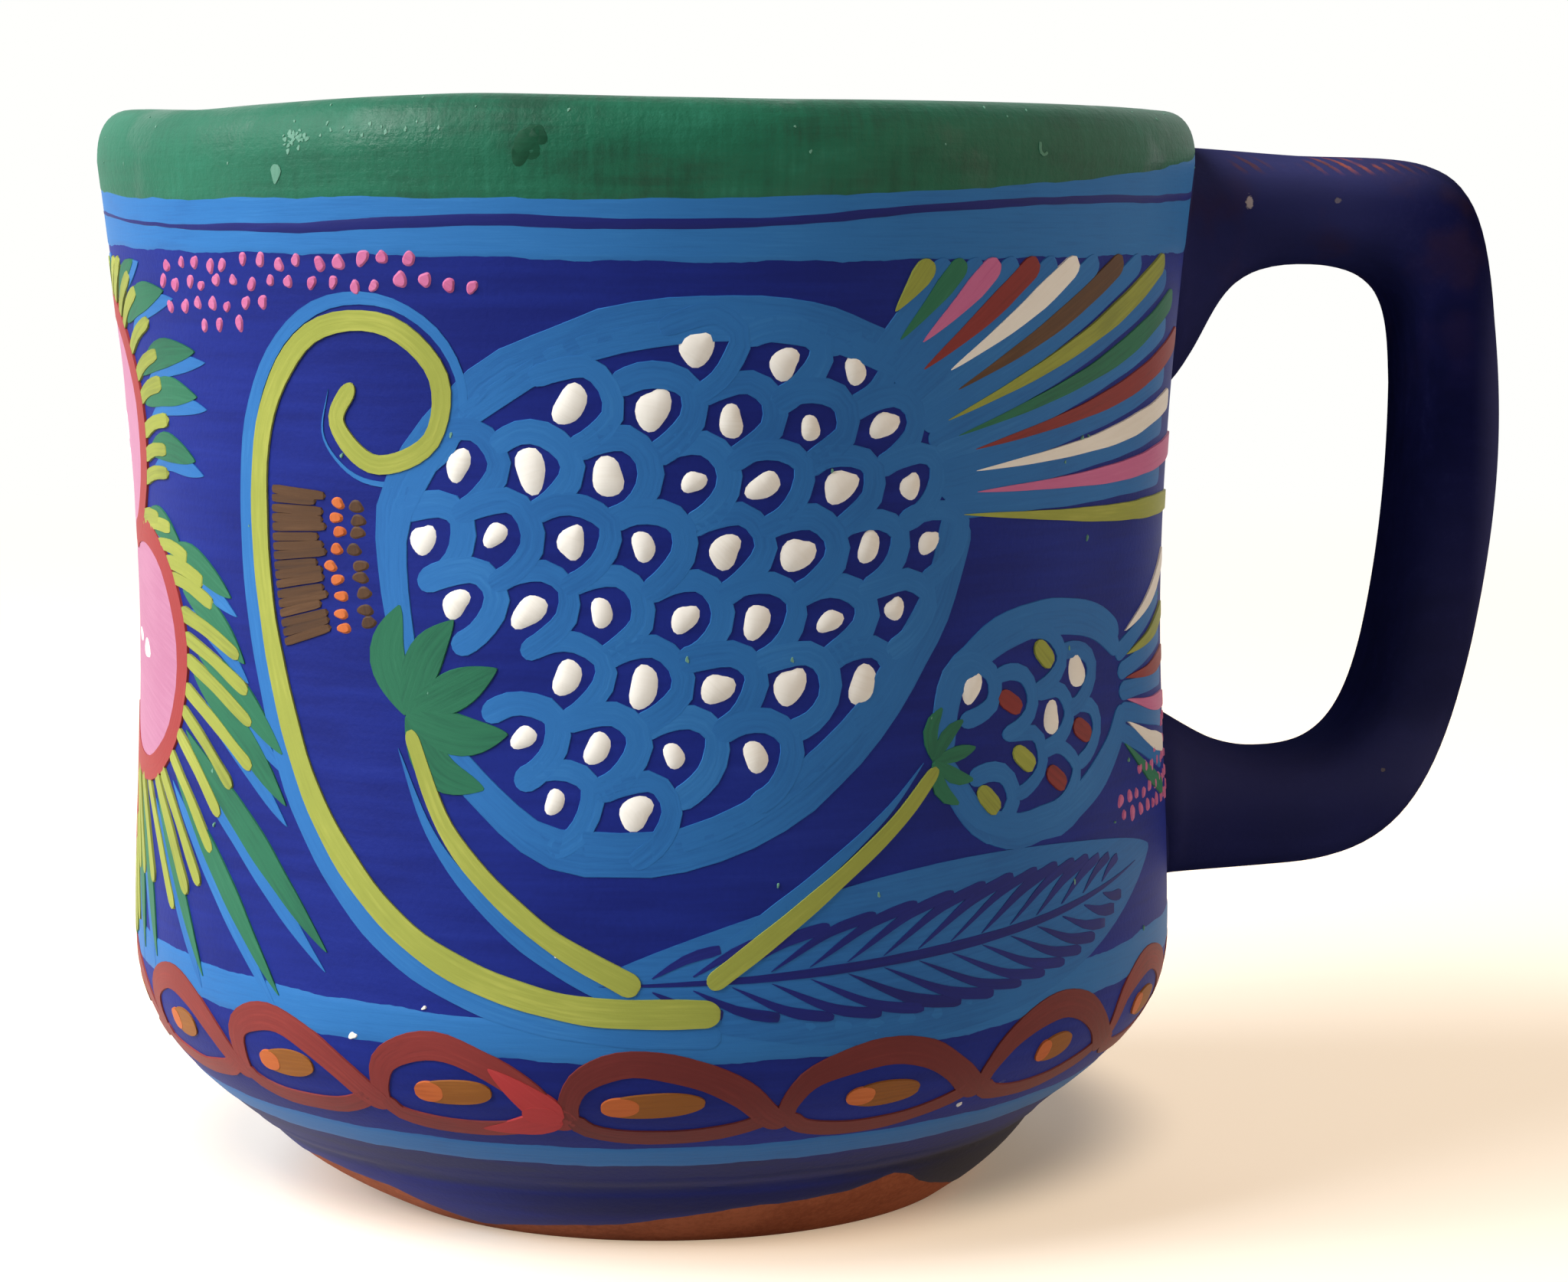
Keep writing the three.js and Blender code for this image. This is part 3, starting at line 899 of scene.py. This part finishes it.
def scale_bud(place, angle, length, girth, pitch=5.8, row=4.9, dots=("white",)):
    """A bud covered in scales: arched strokes in staggered rows, each with a raised dot."""
    blue = palette["blue"]

    def half(ahead):
        share = 2 * ahead / length
        return girth / 2 * math.sqrt(max(0, 1 - share * share)) * (1 - 0.16 * share)

    bare = 0.11 * length
    for r in range(int((length - 2 - bare) / row)):
        ahead = -length / 2 + bare + r * row
        squeeze = 0.62 + 0.38 * half(ahead + row / 2) / (girth / 2)
        wide = pitch * squeeze
        reach = int(girth / wide)
        for c in range(-reach, reach + 1):
            aside = (c + 0.5 * (r % 2)) * wide
            away = math.hypot(ahead + 0.4 * row + length / 2, aside)
            if abs(aside) > half(ahead + 0.45 * row) - 2.1 or away < 0.18 * length:
                continue
            line = [turned_by(place, angle, ahead + up * row, aside + side * wide) for side, up in ARCH]
            blue.stroke(shaken(line, 0.2), (1.75 + chance.uniform(-0.15, 0.3)) * (pitch / 5.8) ** 1.3)
            spot = turned_by(place, angle, ahead + row * 0.36 + chance.uniform(-0.3, 0.3),
                             aside + chance.uniform(-0.3, 0.3))
            colour = dots[(r + c) % len(dots)]
            size = chance.uniform(0.78, 1.25) * squeeze
            if colour == "white":
                tall = size * chance.uniform(1.1, 1.4)
                palette["white"].dot(spot, size, tall, chance.uniform(-1.0, 0.4), 0.2)
            else:
                tilt = angle + chance.uniform(0.6, 1.0)
                palette[colour].stroke([turned_by(spot, tilt, -1.4), turned_by(spot, tilt, 1.4)], 1.5)
    for hand in (-1, 1):
        steps = np.linspace(-length / 2, length / 2 * 0.9, 11)
        for inset, width in ((0.0, 2.3), (0.09 * girth ** 0.75, 1.9)):
            rim = [turned_by(place, angle, a, hand * max(0.0, half(a) - inset)) for a in steps]
            blue.stroke(shaken(rim), width)
    base = turned_by(place, angle, -length / 2 - 0.6)
    for turn in (-1.15, -0.6, 0.6, 1.15, 0.0):
        tip = turned_by(base, angle + turn, length * 0.175)
        middle = turned_by(base, angle + turn * 1.25, length * 0.1)
        palette["green"].stroke([base, middle, tip], girth * 0.08, "leaf")


def stroke_crown(place, angle, spread, inner, outer, colours, width=1.75):
    """Coloured strokes that fan out from a place, with blue ones between."""
    last = len(colours) - 1
    for k, colour in enumerate(colours):
        turn = angle + spread * (k / last - 0.5)
        start = turned_by(place, turn, inner * chance.uniform(0.97, 1.1))
        reach = outer * chance.uniform(0.92, 1.05)
        end, share = kept_in_field(start, turned_by(place, turn + 0.05, reach))
        middle = bowed(start, end, turn, 0.4 * share)
        palette[colour].stroke([end, middle, start], width * chance.uniform(0.9, 1.12), "flick")
        if k < last:
            between = turn + spread / last / 2
            start = turned_by(place, between, inner * 0.86)
            end, _ = kept_in_field(start, turned_by(place, between + 0.04, outer * 0.9))
            palette["blue"].stroke([end, start], width * 1.05)


def hatched_leaf(spine, girth, lines=17, sweep=0.48):
    """A broad leaf in one sweep of blue, with wedges of the ground's colour for its veins."""
    palette["blue"].stroke(spine, girth, "leaf", 0.0)
    line = through(spine, 120)
    run = lengths(line)
    length = run[-1]
    for k in range(lines):
        at = length * (0.07 + 0.84 * k / (lines - 1))
        place, direction = along(line, run, at)
        taper = math.sin(math.pi * min(1, at / length + 0.1)) ** 0.8
        reach = girth / 2 * taper / math.sin(sweep) * 0.82
        for hand in (-1, 1):
            turn = direction + hand * sweep
            root = turned_by(place, turn, 0.9)
            middle = turned_by(place, turn, reach * 0.6)
            tip = turned_by(middle, turn - hand * 0.25, reach * 0.4)
            if reach > 2.4:
                palette["cobalt"].stroke([tip, middle, root], chance.uniform(0.7, 1.0), "flick")
    palette["cobalt"].stroke([tuple(line[i]) for i in np.linspace(2, 112, 9).astype(int)], 0.8, "leaf")


def petal_rim(turn, petals, first, distance, radius):
    """How far from a flower's middle the outline of its round petals lies in a direction."""
    apart = 2 * math.pi / petals
    off = (turn - first + apart / 2) % apart - apart / 2
    return distance * math.cos(off) + math.sqrt(max(0, radius ** 2 - (distance * math.sin(off)) ** 2))


def ray_flower(place, size=25.8, petals=5, first=0.573, leaves=44, rays=80):
    """Round pink petals outlined in red, lime rays round them, and green leaves edged in blue behind."""
    radius = size * 0.375
    distance = size - radius

    def rim(turn):
        return petal_rim(turn, petals, first, distance, radius)

    def longer(turn, by, towards, within):
        return 1 + by * math.exp(-((turn - towards) / within) ** 2)

    for k in range(leaves):
        turn = (k + 0.5) * 2 * math.pi / leaves + chance.uniform(-0.05, 0.05)
        start = turned_by(place, turn, rim(turn) + 2)
        reach = rim(turn) + chance.uniform(10, 12) * longer(turn, 1.6, 2.14, 0.36)
        end, share = kept_in_field(start, turned_by(place, turn + 0.16, reach))
        middle = bowed(start, end, turn, -0.9 * share)
        beside = [turned_by(spot, turn, 0.4, 1.5 * share) for spot in (start, middle, end)]
        palette["blue"].stroke(beside, 1.8, "leaf")
        palette["green"].stroke([start, middle, end], 2.4 * max(0.6, share), "leaf")
    for k in range(rays):
        turn = k * 2 * math.pi / rays + chance.uniform(-0.02, 0.02)
        start = turned_by(place, turn, rim(turn) + 0.6)
        reach = rim(turn) + chance.uniform(5.2, 7.0) * longer(turn, 0.9, 2.2, 0.75)
        end, share = kept_in_field(start, turned_by(place, turn + 0.08, reach))
        middle = bowed(start, end, turn, -0.35 * share)
        palette["lime"].stroke([start, middle, end], chance.uniform(1.05, 1.3), "round", 0.1)
    for k in range(petals):
        turn = first + k * 2 * math.pi / petals
        heart = turned_by(place, turn, distance)
        ends = [turned_by(heart, turn, -radius), turned_by(heart, turn, radius)]
        palette["petal"].stroke(ends, 2 * radius, "round", 0.0)
        ring = [turned_by(heart, turn + a, radius) for a in np.linspace(-2.3, 2.3, 13)]
        palette["edge"].stroke(shaken(ring, 0.1), 2.1)
        for out in (0.0, 0.34):
            palette["white"].dot(turned_by(heart, turn, -radius * out), 1.0 - out, 1.5 - out, -turn, 0.2)
    palette["lime"].stroke([(place[0] - 4.2, place[1]), (place[0] + 4.2, place[1])], 8.4, "round", 0.0)
    for k in range(12):
        turn = k * math.pi / 6
        palette["white"].dot(turned_by(place, turn, 5.4), 0.65, 0.85, -turn, 0.25)


def vine(line, width=2.0):
    """A stem in one long stroke with a line of blue beside it."""
    palette["lime"].stroke(shaken(line, 0.1), width, "vine")
    stem = through(line, 60)
    ahead = np.gradient(stem, axis=0)
    ahead /= np.hypot(ahead[:, 0], ahead[:, 1])[:, None]
    beside = stem + np.stack([ahead[:, 1], -ahead[:, 0]], 1) * -width * 0.8
    palette["blue"].stroke([tuple(spot) for spot in beside[::3]], width * 0.9, "flick")
    return stem


def fringe(stem, start, end, length, count):
    """Short dry strokes side by side along a stem, with loose dots beyond them."""
    run = lengths(stem)
    for k in range(count):
        place, ahead = along(stem, run, run[-1] * (start + (end - start) * k / (count - 1)))
        turn = ahead + math.pi / 2
        reach = length * chance.uniform(0.9, 1.1)
        palette["brown"].stroke([turned_by(place, turn, 1.2), turned_by(place, turn - 0.05, reach)], 0.68)
        if k % 2 == 0:
            palette["orange"].dot(turned_by(place, turn, reach + 1.1), 0.42, 0.6, -turn, 0.2)
            beyond = length + chance.uniform(2.9, 3.5)
            palette["brown"].dot(turned_by(place, turn, beyond), 0.45, 0.7, -turn, 0.2)


def sprinkled(colour, corners, pitch, size):
    """Small dots in staggered rows inside a field with straight sides."""
    corners = np.array(corners, float)
    after = np.roll(corners, -1, 0)
    low, high = corners.min(0), corners.max(0)
    for row, p in enumerate(np.arange(low[1], high[1], pitch * 0.85)):
        crosses = (corners[:, 1] > p) != (after[:, 1] > p)
        rise = np.where(crosses, after[:, 1] - corners[:, 1], 1)
        where = corners[:, 0] + (p - corners[:, 1]) / rise * (after[:, 0] - corners[:, 0])
        for s in np.arange(low[0] + (row % 2) * pitch / 2, high[0], pitch):
            if (crosses & (s < where)).sum() % 2:
                spot = (s + chance.uniform(-0.3, 0.3), p + chance.uniform(-0.3, 0.3))
                wide = size * chance.uniform(0.8, 1.15)
                tall = wide * chance.uniform(1.0, 1.3)
                palette[colour].dot(spot, wide, tall, chance.uniform(-0.6, 0.6), 0.2)


ALMONDS = [-61.0, -45.6, -31.4, -16.0, -0.5, 18.0, 35.2, 51.0] + [51.0 + 17.5 * k for k in range(1, 9)]
ALMOND_GAP = 18.2
DASHES = [5.0, 4.4, 5.8, 6.2, 7.8, 6.3, 4.2, 5.4] + [6.2] * 8
DARK_LOOPS = (-8, 45)
RED_LOOP = ALMONDS[3]
RED_STROKES = [
    ([(9.1, -1.7), (8.2, -1.2), (6.1, 0.6), (3.6, 2.6)], 3.0, "flick"),
    ([(9.1, -1.7), (7.9, -2.0), (6.4, -2.6), (4.2, -3.2), (2.4, -3.5)], 2.5, "flick"),
    ([(5.9, -1.3), (8.8, -1.3)], 1.7, "round"),
]


def almond_chain(level_at):
    """Loops like eyes, a thick stroke above and a thinner one below, each with a short dash inside."""
    def on_chain(s, bow):
        return [(s + a, float(level_at(s + a)) + b) for a, b in bow]

    for k, (s, dash) in enumerate(zip(ALMONDS, DASHES)):
        left = 0.5 * (s - ALMONDS[k - 1] if k else ALMOND_GAP) - 0.8
        right = 0.5 * (ALMONDS[k + 1] - s if k + 1 < len(ALMONDS) else ALMOND_GAP) + 0.6
        over = [
            (-left + 1.4, -2.1), (-left + 1.1, -0.2), (-left * 0.72, 2.0), (-left * 0.36, 3.4), (0.4, 3.8),
            (right * 0.42, 2.8), (right * 0.74, 0.9), (right, -1.3), (right + 1.7, -2.4)]
        under = [
            (-left + 1.3, -1.3), (-left * 0.66, -2.8), (-left * 0.24, -3.5), (right * 0.22, -3.6),
            (right * 0.55, -3.2), (right * 0.82, -2.4), (right + 0.2, -1.4)]
        loop = palette["brick" if DARK_LOOPS[0] < s < DARK_LOOPS[1] else "russet"]
        loop.stroke(shaken(on_chain(s, over), 0.12), 2.3, "bow")
        loop.stroke(shaken(on_chain(s, under), 0.12), 1.7)
        level = float(level_at(s)) + chance.uniform(-0.2, 0.2)
        tilt = chance.uniform(-0.3, 0.3)
        start = s + 0.6 - dash / 2
        palette["ochre"].stroke([(start, level - tilt), (start + dash, level + tilt)], 2.4, "oval")
        tip = [(start - 0.15, level + 0.1 - tilt), (start + 0.36 * dash, level - 0.3 * tilt)]
        palette["orange"].stroke(tip, 1.9, "oval")
    for bow, width, kind in RED_STROKES:
        palette["red"].stroke(on_chain(RED_LOOP, bow), width, kind)


def growth(at):
    """One growth of the ornament: a curled vine, two scaled buds with their crowns, and a broad leaf."""
    def moved(*line):
        return [(s + at, p) for s, p in line]

    stem = vine(moved(
        (5, 21.6), (-7, 22.4), (-18, 26.6), (-26, 35), (-30.6, 45), (-32.4, 55), (-31.2, 64.6), (-26.4, 71),
        (-19.8, 72), (-15.6, 68.4), (-16.4, 63.4), (-21, 61.8), (-24.2, 64.6), (-22.6, 67.6)))
    fringe(stem, 0.47, 0.585, 6.2, 17)
    hatched_leaf(moved((-5, 23.8), (8, 24.2), (22, 25.2), (36, 26.8), (51, 29.6)), 13)
    vine(moved((-1, 23.6), (-8.5, 28), (-15, 34.5), (-18.6, 42.2)), 1.7)
    vine(moved((4, 23.8), (12, 29.6), (18.6, 34.8), (22.6, 39)), 1.5)
    place = moved((2.6, 54.2))[0]
    stroke_crown(turned_by(place, 1.1, 6), 1.04, 0.96, 17.2, 52, [
        "lime", "green", "pink", "russet", "chalk", "brown",
        "lime", "green", "russet", "chalk", "pink", "lime"])
    scale_bud(place, 1.1, 47, 38)
    place = moved((34.5, 41.8))[0]
    stroke_crown(turned_by(place, 1.38, 1), 1.5, 0.8, 11, 25, [
        "chalk", "lime", "russet", "pink", "chalk", "green"], 1.5)
    scale_bud(place, 1.38, 24, 16, 4.7, 3.9, ("russet", "lime", "white"))
    sprinkled("pink", moved((41, 33.4), (60, 40), (62, 32.6), (50, 31.2)), 1.8, 0.42)
    sprinkled(
        "pink", moved((-44, 74), (-35, 70), (-29, 74.2), (-14, 74), (-6, 76.4), (-42, 76.6)), 1.9, 0.46)


CHIPS = [
    (-23.4, 19.0, 0.46), (-17.2, 21.7, 0.22), (-10.0, 16.9, 0.26), (27.5, 11.2, 0.32), (-7.1, 26.0, 0.15)]


def signs_of_use_and_glints():
    """Painted glints, pale flecks and a dark blot on the lip, specks on the wall and a few white chips low
    on the front.
    """
    flecks_and_glints = palette["fleck_and_glint"]
    # Painted highlight: a cluster of pale flecks on the lip, and a trail of smaller ones to its right, stand
    # for glints of light.
    for _ in range(30):
        wide = chance.uniform(0.1, 0.26)
        spot = (chance.gauss(-26.3, 0.75), chance.gauss(85.4, 0.42))
        flecks_and_glints.dot(spot, wide, wide * chance.uniform(0.6, 1.1), chance.uniform(-0.6, 0.6), 0.4)
    for _ in range(16):
        wide = chance.uniform(0.07, 0.15)
        spot = (chance.uniform(-24.8, -14.5), chance.gauss(85.9, 0.3))
        flecks_and_glints.dot(spot, wide, wide * chance.uniform(1.0, 1.8), chance.uniform(-0.4, 0.4), 0.4)
    flecks_and_glints.stroke([(-28.0, 83.6), (-28.1, 82.9), (-28.3, 82.1)], 1.0, "flick", 0.15)
    ring = [(30.2 + 0.45 * math.sin(a), 84.9 + 0.6 * math.cos(a)) for a in (2.2, 3.2, 4.2, 5.4)]
    flecks_and_glints.stroke(ring, 0.24)
    for aside, up, wide in ((0, 0, 1.2), (0.8, 0.7, 0.8), (-0.5, -0.6, 0.9), (0.1, 0.5, 1.0)):
        palette["blot"].dot((-8.4 + aside, 84.5 + up), wide, wide * 1.1, 0.0, 0.2)
    for count, low, high, small, large in ((46, 23, 76, 0.07, 0.16), (40, 83.5, 88.5, 0.06, 0.13)):
        for _ in range(count):
            wide = chance.uniform(small, large)
            spot = (chance.uniform(-56, 200), chance.uniform(low, high))
            flecks_and_glints.dot(spot, wide, wide * chance.uniform(1, 1.8), 0.0, 0.4)
    for s, p, wide in CHIPS:
        palette["chalk"].dot((s, p), wide, wide * 0.6, 0.5, 0.3)


# The palette: each colour's piece, how high it lies on the wall and how far it swells

white_paint = brush_paint("white_paint", rgb(252, 249, 242), rgb(246, 242, 233), rgb(255, 253, 248), 0.45)
palette = {
    "blue": Paint("blue_brushwork", 0.05, 0.02, brush_paint(
        "sky_blue_paint", rgb(46, 112, 180), rgb(40, 101, 168), rgb(56, 124, 190))),
    "cobalt": Paint("cobalt_lines", 0.09, 0.01, brush_paint(
        "cobalt_line_paint", rgb(26, 34, 112), rgb(22, 28, 98), rgb(34, 42, 126))),
    "green": Paint("green_leaf_strokes", 0.09, 0.02, brush_paint(
        "leaf_green_paint", rgb(44, 110, 82), rgb(36, 94, 72), rgb(58, 124, 94))),
    "lime": Paint("lime_strokes", 0.1, 0.07, brush_paint(
        "lime_paint", rgb(156, 164, 75), rgb(133, 142, 66), rgb(177, 182, 88))),
    "petal": Paint("pink_petals", 0.1, 0.01, brush_paint(
        "petal_pink_paint", rgb(194, 132, 164), rgb(186, 120, 154), rgb(202, 142, 172))),
    "pink": Paint("pink_dots", 0.1, 0.06, brush_paint(
        "pink_paint", rgb(204, 112, 158), rgb(190, 94, 142), rgb(214, 130, 172))),
    "edge": Paint("red_petal_outlines", 0.14, 0.03, brush_paint(
        "petal_edge_paint", rgb(158, 57, 58), rgb(145, 49, 51), rgb(168, 67, 66))),
    "red": Paint("red_chain_tips", 0.14, 0.03, brush_paint(
        "red_paint", rgb(184, 62, 64), rgb(168, 52, 56), rgb(196, 76, 75))),
    "russet": Paint("russet_almond_chain", 0.08, 0.04, brush_paint(
        "russet_paint", rgb(132, 53, 51), rgb(107, 43, 43), rgb(150, 63, 59))),
    "brick": Paint("brick_almond_chain", 0.085, 0.04, brush_paint(
        "brick_paint", rgb(104, 42, 41), rgb(85, 34, 35), rgb(119, 50, 48))),
    "ochre": Paint("ochre_dashes", 0.1, 0.04, brush_paint(
        "ochre_paint", rgb(146, 90, 40), rgb(126, 76, 38), rgb(164, 104, 48))),
    "orange": Paint("orange_tips", 0.13, 0.03, brush_paint(
        "orange_paint", rgb(202, 108, 58), rgb(184, 92, 50), rgb(214, 122, 70))),
    "brown": Paint("brown_strokes", 0.08, 0.03, brush_paint(
        "brown_paint", rgb(84, 60, 42), rgb(66, 49, 40), rgb(102, 74, 52))),
    "white": Paint("white_dots", 0.1, 0.13, white_paint),
    "chalk": Paint("white_strokes", 0.1, 0.03, white_paint),
    "blot": Paint("lip_blots", 0.09, 0.01, brush_paint(
        "dark_green_paint", rgb(17, 72, 50), rgb(14, 64, 44), rgb(21, 80, 56))),
    # Pale flecks of wear, and the painted glints on the lip.
    "fleck_and_glint": Paint("pale_flecks_and_glints", 0.1, 0.03, brush_paint(
        "fleck_and_glint_paint", rgb(108, 158, 138), rgb(88, 142, 120), rgb(136, 178, 162))),
}

# Edges and levels round the cup, as knots of place and height

green_edge = wave([
    (-135, 81.0), (-100, 81.2), (-60, 81.7), (-48, 81.1), (-25, 80.8), (-12, 80.5), (0, 80.6), (10, 80.9),
    (22, 81.4), (31, 82.0), (40, 82.7), (52, 83.8), (66, 84.9), (80, 84.7), (96, 83.2), (112, 81.6)], 12)
neck_edge = wave([
    (-135, 77.0), (-90, 76.8), (-58, 77.7), (-25, 77.0), (0, 76.4), (30, 76.7), (58, 77.0), (72, 77.2),
    (100, 76.6)])
neck_line = wave([
    (-135, 79.0), (-90, 79.4), (-60, 80.3), (-45, 79.4), (-26, 78.9), (-13, 79.4), (0, 79.1), (10, 79.4),
    (20, 80.4), (34, 81.1), (46, 81.2), (60, 81.6), (72, 81.9), (100, 80.0)], 14)
neck_line_half = wave([
    (-135, 0.4), (-60, 0.2), (-42, 0.2), (-28, 0.62), (-8, 0.7), (8, 0.52), (30, 0.48), (55, 0.46),
    (100, 0.4)])
foot_band = wave([
    (-135, 20.8), (-60, 22.0), (-45, 21.4), (-30, 20.8), (-15, 20.1), (0, 19.6), (18, 19.8), (35, 20.8),
    (51, 21.8), (72, 21.6), (100, 20.8)], 12)
chain_level = wave([
    (-135, 15.6), (-61, 16.8), (-45.6, 16.6), (-31.4, 15.6), (-16, 15.0), (-0.5, 14.1), (18, 14.1),
    (35.2, 15.5), (51, 16.6), (75, 16.4), (100, 15.6)], 12)
stripe_level = wave([
    (-135, 8.2), (-60, 8.8), (-45, 8.4), (0, 7.4), (40, 8.3), (60, 8.8), (100, 8.2)])
foot_paint_edge = wave([
    (-135, 1.8), (-90, 2.0), (-60, 3.4), (-44, 4.7), (-36, 4.1), (-32, 3.6), (-29.5, 1.8), (-26, 0.5),
    (-22, 0.8), (-17, 1.4), (-9, 1.9), (-3, 2.3), (4, 3.2), (11, 3.8), (18, 4.0), (22, 4.2), (27, 5.3),
    (29, 5.0), (33, 3.6), (40, 2.2), (48, 1.0), (70, 1.4), (100, 2.2)], 3.0)
FOOT_PAINT_TOP = 7.2


# The mug, put together

finish_piece(turned_wall(SECTION, 224), "painted_cup", "painted_clay", cobalt_ground(), 50, "thrown_cup")
finish_piece(
    turned_wall(glaze_section(), 160), "glazed_inside", "clear_glaze", clear_glaze(), 50, "glaze_lining")
navy = handle_paint()
finish_piece(pulled_handle(), "painted_handle", "painted_handle", navy, 50, "strap_handle")
for name, node, low, high in (
        ("upper_slip_bead", "upper_slip_joint", 67.6, 86.0),
        ("lower_slip_bead", "lower_slip_joint", 24.3, 35.4)):
    finish_piece(slip_bead(low, high, ROOT_WIDTH - 1.2), name, "painted_slip", navy, 60, node)

band_blue = brush_paint("band_blue_paint", rgb(48, 116, 184), rgb(42, 105, 172), rgb(58, 128, 194))
painted_band("neck_blue_band", neck_edge, lambda s: green_edge(s) + 0.6, band_blue)
painted_band(
    "foot_blue_band", lambda s: foot_band(s) - 1.8, lambda s: foot_band(s) + 1.3, band_blue, rows=10)
painted_band(
    "foot_blue_stripe", lambda s: stripe_level(s) - 1.6, lambda s: stripe_level(s) + 1.5, band_blue, rows=8)
painted_band(
    "foot_cobalt_band", lambda s: up_to(foot_paint_edge(s)), lambda s: 0 * s + up_to(FOOT_PAINT_TOP),
    foot_coat(), 0.06, 12)
line_paint = brush_paint("neck_line_paint", rgb(25, 33, 106), rgb(21, 27, 92), rgb(32, 41, 120))
painted_band(
    "neck_line", lambda s: neck_line(s) - neck_line_half(s), lambda s: neck_line(s) + neck_line_half(s),
    line_paint, 0.07, 4, ragged=0.04)
lip_paint = lip_gloss("lip_green_paint", rgb(16, 94, 69), rgb(7, 66, 46), rgb(36, 116, 91))
inside = len(OUTSIDE) + LIP_STEPS
inside_edge = float(np.interp(-GREEN_INSIDE, -SECTION[inside:, 1], RUN[inside:]))
painted_band("green_lip_band", green_edge, lambda s: 0 * s + inside_edge, lip_paint, 0.08, 34, 320)

ray_flower((-69.4, 49.7))
growth(0)
growth(112)
almond_chain(chain_level)
signs_of_use_and_glints()
for colour, paint in palette.items():
    paint.piece(SOFT_PAINT if colour == "white" else CRISP_PAINT)


# Stage, light and camera

BACKDROP = rgb(255, 255, 253)
WARM = rgb(255, 227, 192)
PAINTED_SHADOW_MIDDLE = (2, 16, 0)
AIM = Vector((0, 0, 0.045))
EYE = (-0.030573, -0.296835, 0.077211)
EYE_TURN = math.radians(8)
EYE_DIP = math.radians(6.261)
PICTURE_WIDTH = 2048
FOCAL_LENGTH = 4639.37
SENSOR = 36


def studio_world(level):
    """Even light from all round, with the backdrop's colour where it is seen directly."""
    world = bpy.data.worlds.new("studio")
    bpy.context.scene.world = world
    world.use_nodes = True
    shading = Shading(world.node_tree)
    light = shading.nodes["Background"]
    shading.put(light.inputs["Color"], (1, 1, 1, 1))
    shading.put(light.inputs["Strength"], level)
    backdrop = shading.node("ShaderNodeBackground", None, {"Color": BACKDROP})
    mixed = shading.node("ShaderNodeMixShader", None, {
        0: shading.seen_directly(), 1: Value(shading, light.outputs[0]), 2: backdrop})
    shading.put(shading.nodes["World Output"].inputs["Surface"], mixed)


def pale_floor(lift):
    """A pale floor that keeps the object's shadow, with a painted shadow round the cup's foot, and runs out
    into the backdrop.
    """
    clear_bench()
    bpy.ops.mesh.primitive_plane_add(size=12, location=(0, 0, 0))
    floor = bpy.context.object
    floor.name = "floor"
    finish = Finish("pale_floor", 0.7, 0.1)
    spot = finish.place()
    seen = finish.seen_directly()
    finish.put(finish.shader.inputs["Base Color"], finish.mix(seen, rgb(178, 177, 174), rgb(231, 231, 230)))
    # Painted shadow: the floor's glow is cut down in a disc round the foot, centred a little behind it.
    beside = finish.length(finish.vector("SUBTRACT", spot, PAINTED_SHADOW_MIDDLE))
    glow_dimmed_for_painted_shadow = seen * beside.ramp(36, 48, 0.16, lift)
    near = finish.node("ShaderNodeEmission", None, {"Color": WARM, "Strength": glow_dimmed_for_painted_shadow})
    far = finish.node("ShaderNodeEmission", None, {"Color": BACKDROP, "Strength": 1.0})
    lit = finish.node("ShaderNodeAddShader", None, {0: Value(finish, finish.shader.outputs[0]), 1: near})
    away = finish.length(spot).ramp(120, 900) * seen
    faded = finish.node("ShaderNodeMixShader", None, {0: away, 1: lit, 2: far})
    finish.put(finish.nodes["Material Output"].inputs["Surface"], faded)
    floor.data.materials.append(finish.material)


def lamp(name, place, size, watts, colour):
    light = bpy.data.lights.new(name, "AREA")
    light.size = size
    light.energy = watts
    light.color = colour
    holder = bpy.data.objects.new(name, light)
    holder.location = place
    holder.rotation_euler = (AIM - Vector(place)).to_track_quat("-Z", "Y").to_euler()
    bpy.context.scene.collection.objects.link(holder)


def viewpoint():
    """The camera where the picture was taken from, with a focal length fitted in the picture's pixels."""
    eye = bpy.data.cameras.new("viewpoint")
    eye.sensor_width = SENSOR
    eye.lens = SENSOR * FOCAL_LENGTH / PICTURE_WIDTH
    eye.clip_start = 0.01
    holder = bpy.data.objects.new("viewpoint", eye)
    holder.location = EYE
    level = math.cos(EYE_DIP)
    look = Vector((math.sin(EYE_TURN) * level, math.cos(EYE_TURN) * level, -math.sin(EYE_DIP)))
    holder.rotation_euler = look.to_track_quat("-Z", "Y").to_euler()
    bpy.context.scene.collection.objects.link(holder)
    bpy.context.scene.camera = holder


studio_world(0.1)
pale_floor(0.66)
lamp("window", (-0.97, -0.24, 0.78), 0.9, 23.5, (1, 0.985, 0.96))
lamp("glint", (-0.88, -0.24, 0.36), 0.12, 1.2, (1, 0.99, 0.97))
lamp("fill", (0.95, -0.4, 0.32), 1.2, 5.2, (1, 0.73, 0.5))
lamp("back", (0.3, 0.9, 0.8), 0.8, 1.3, (1, 1, 1))
viewpoint()
bpy.context.scene.view_settings.view_transform = "Standard"
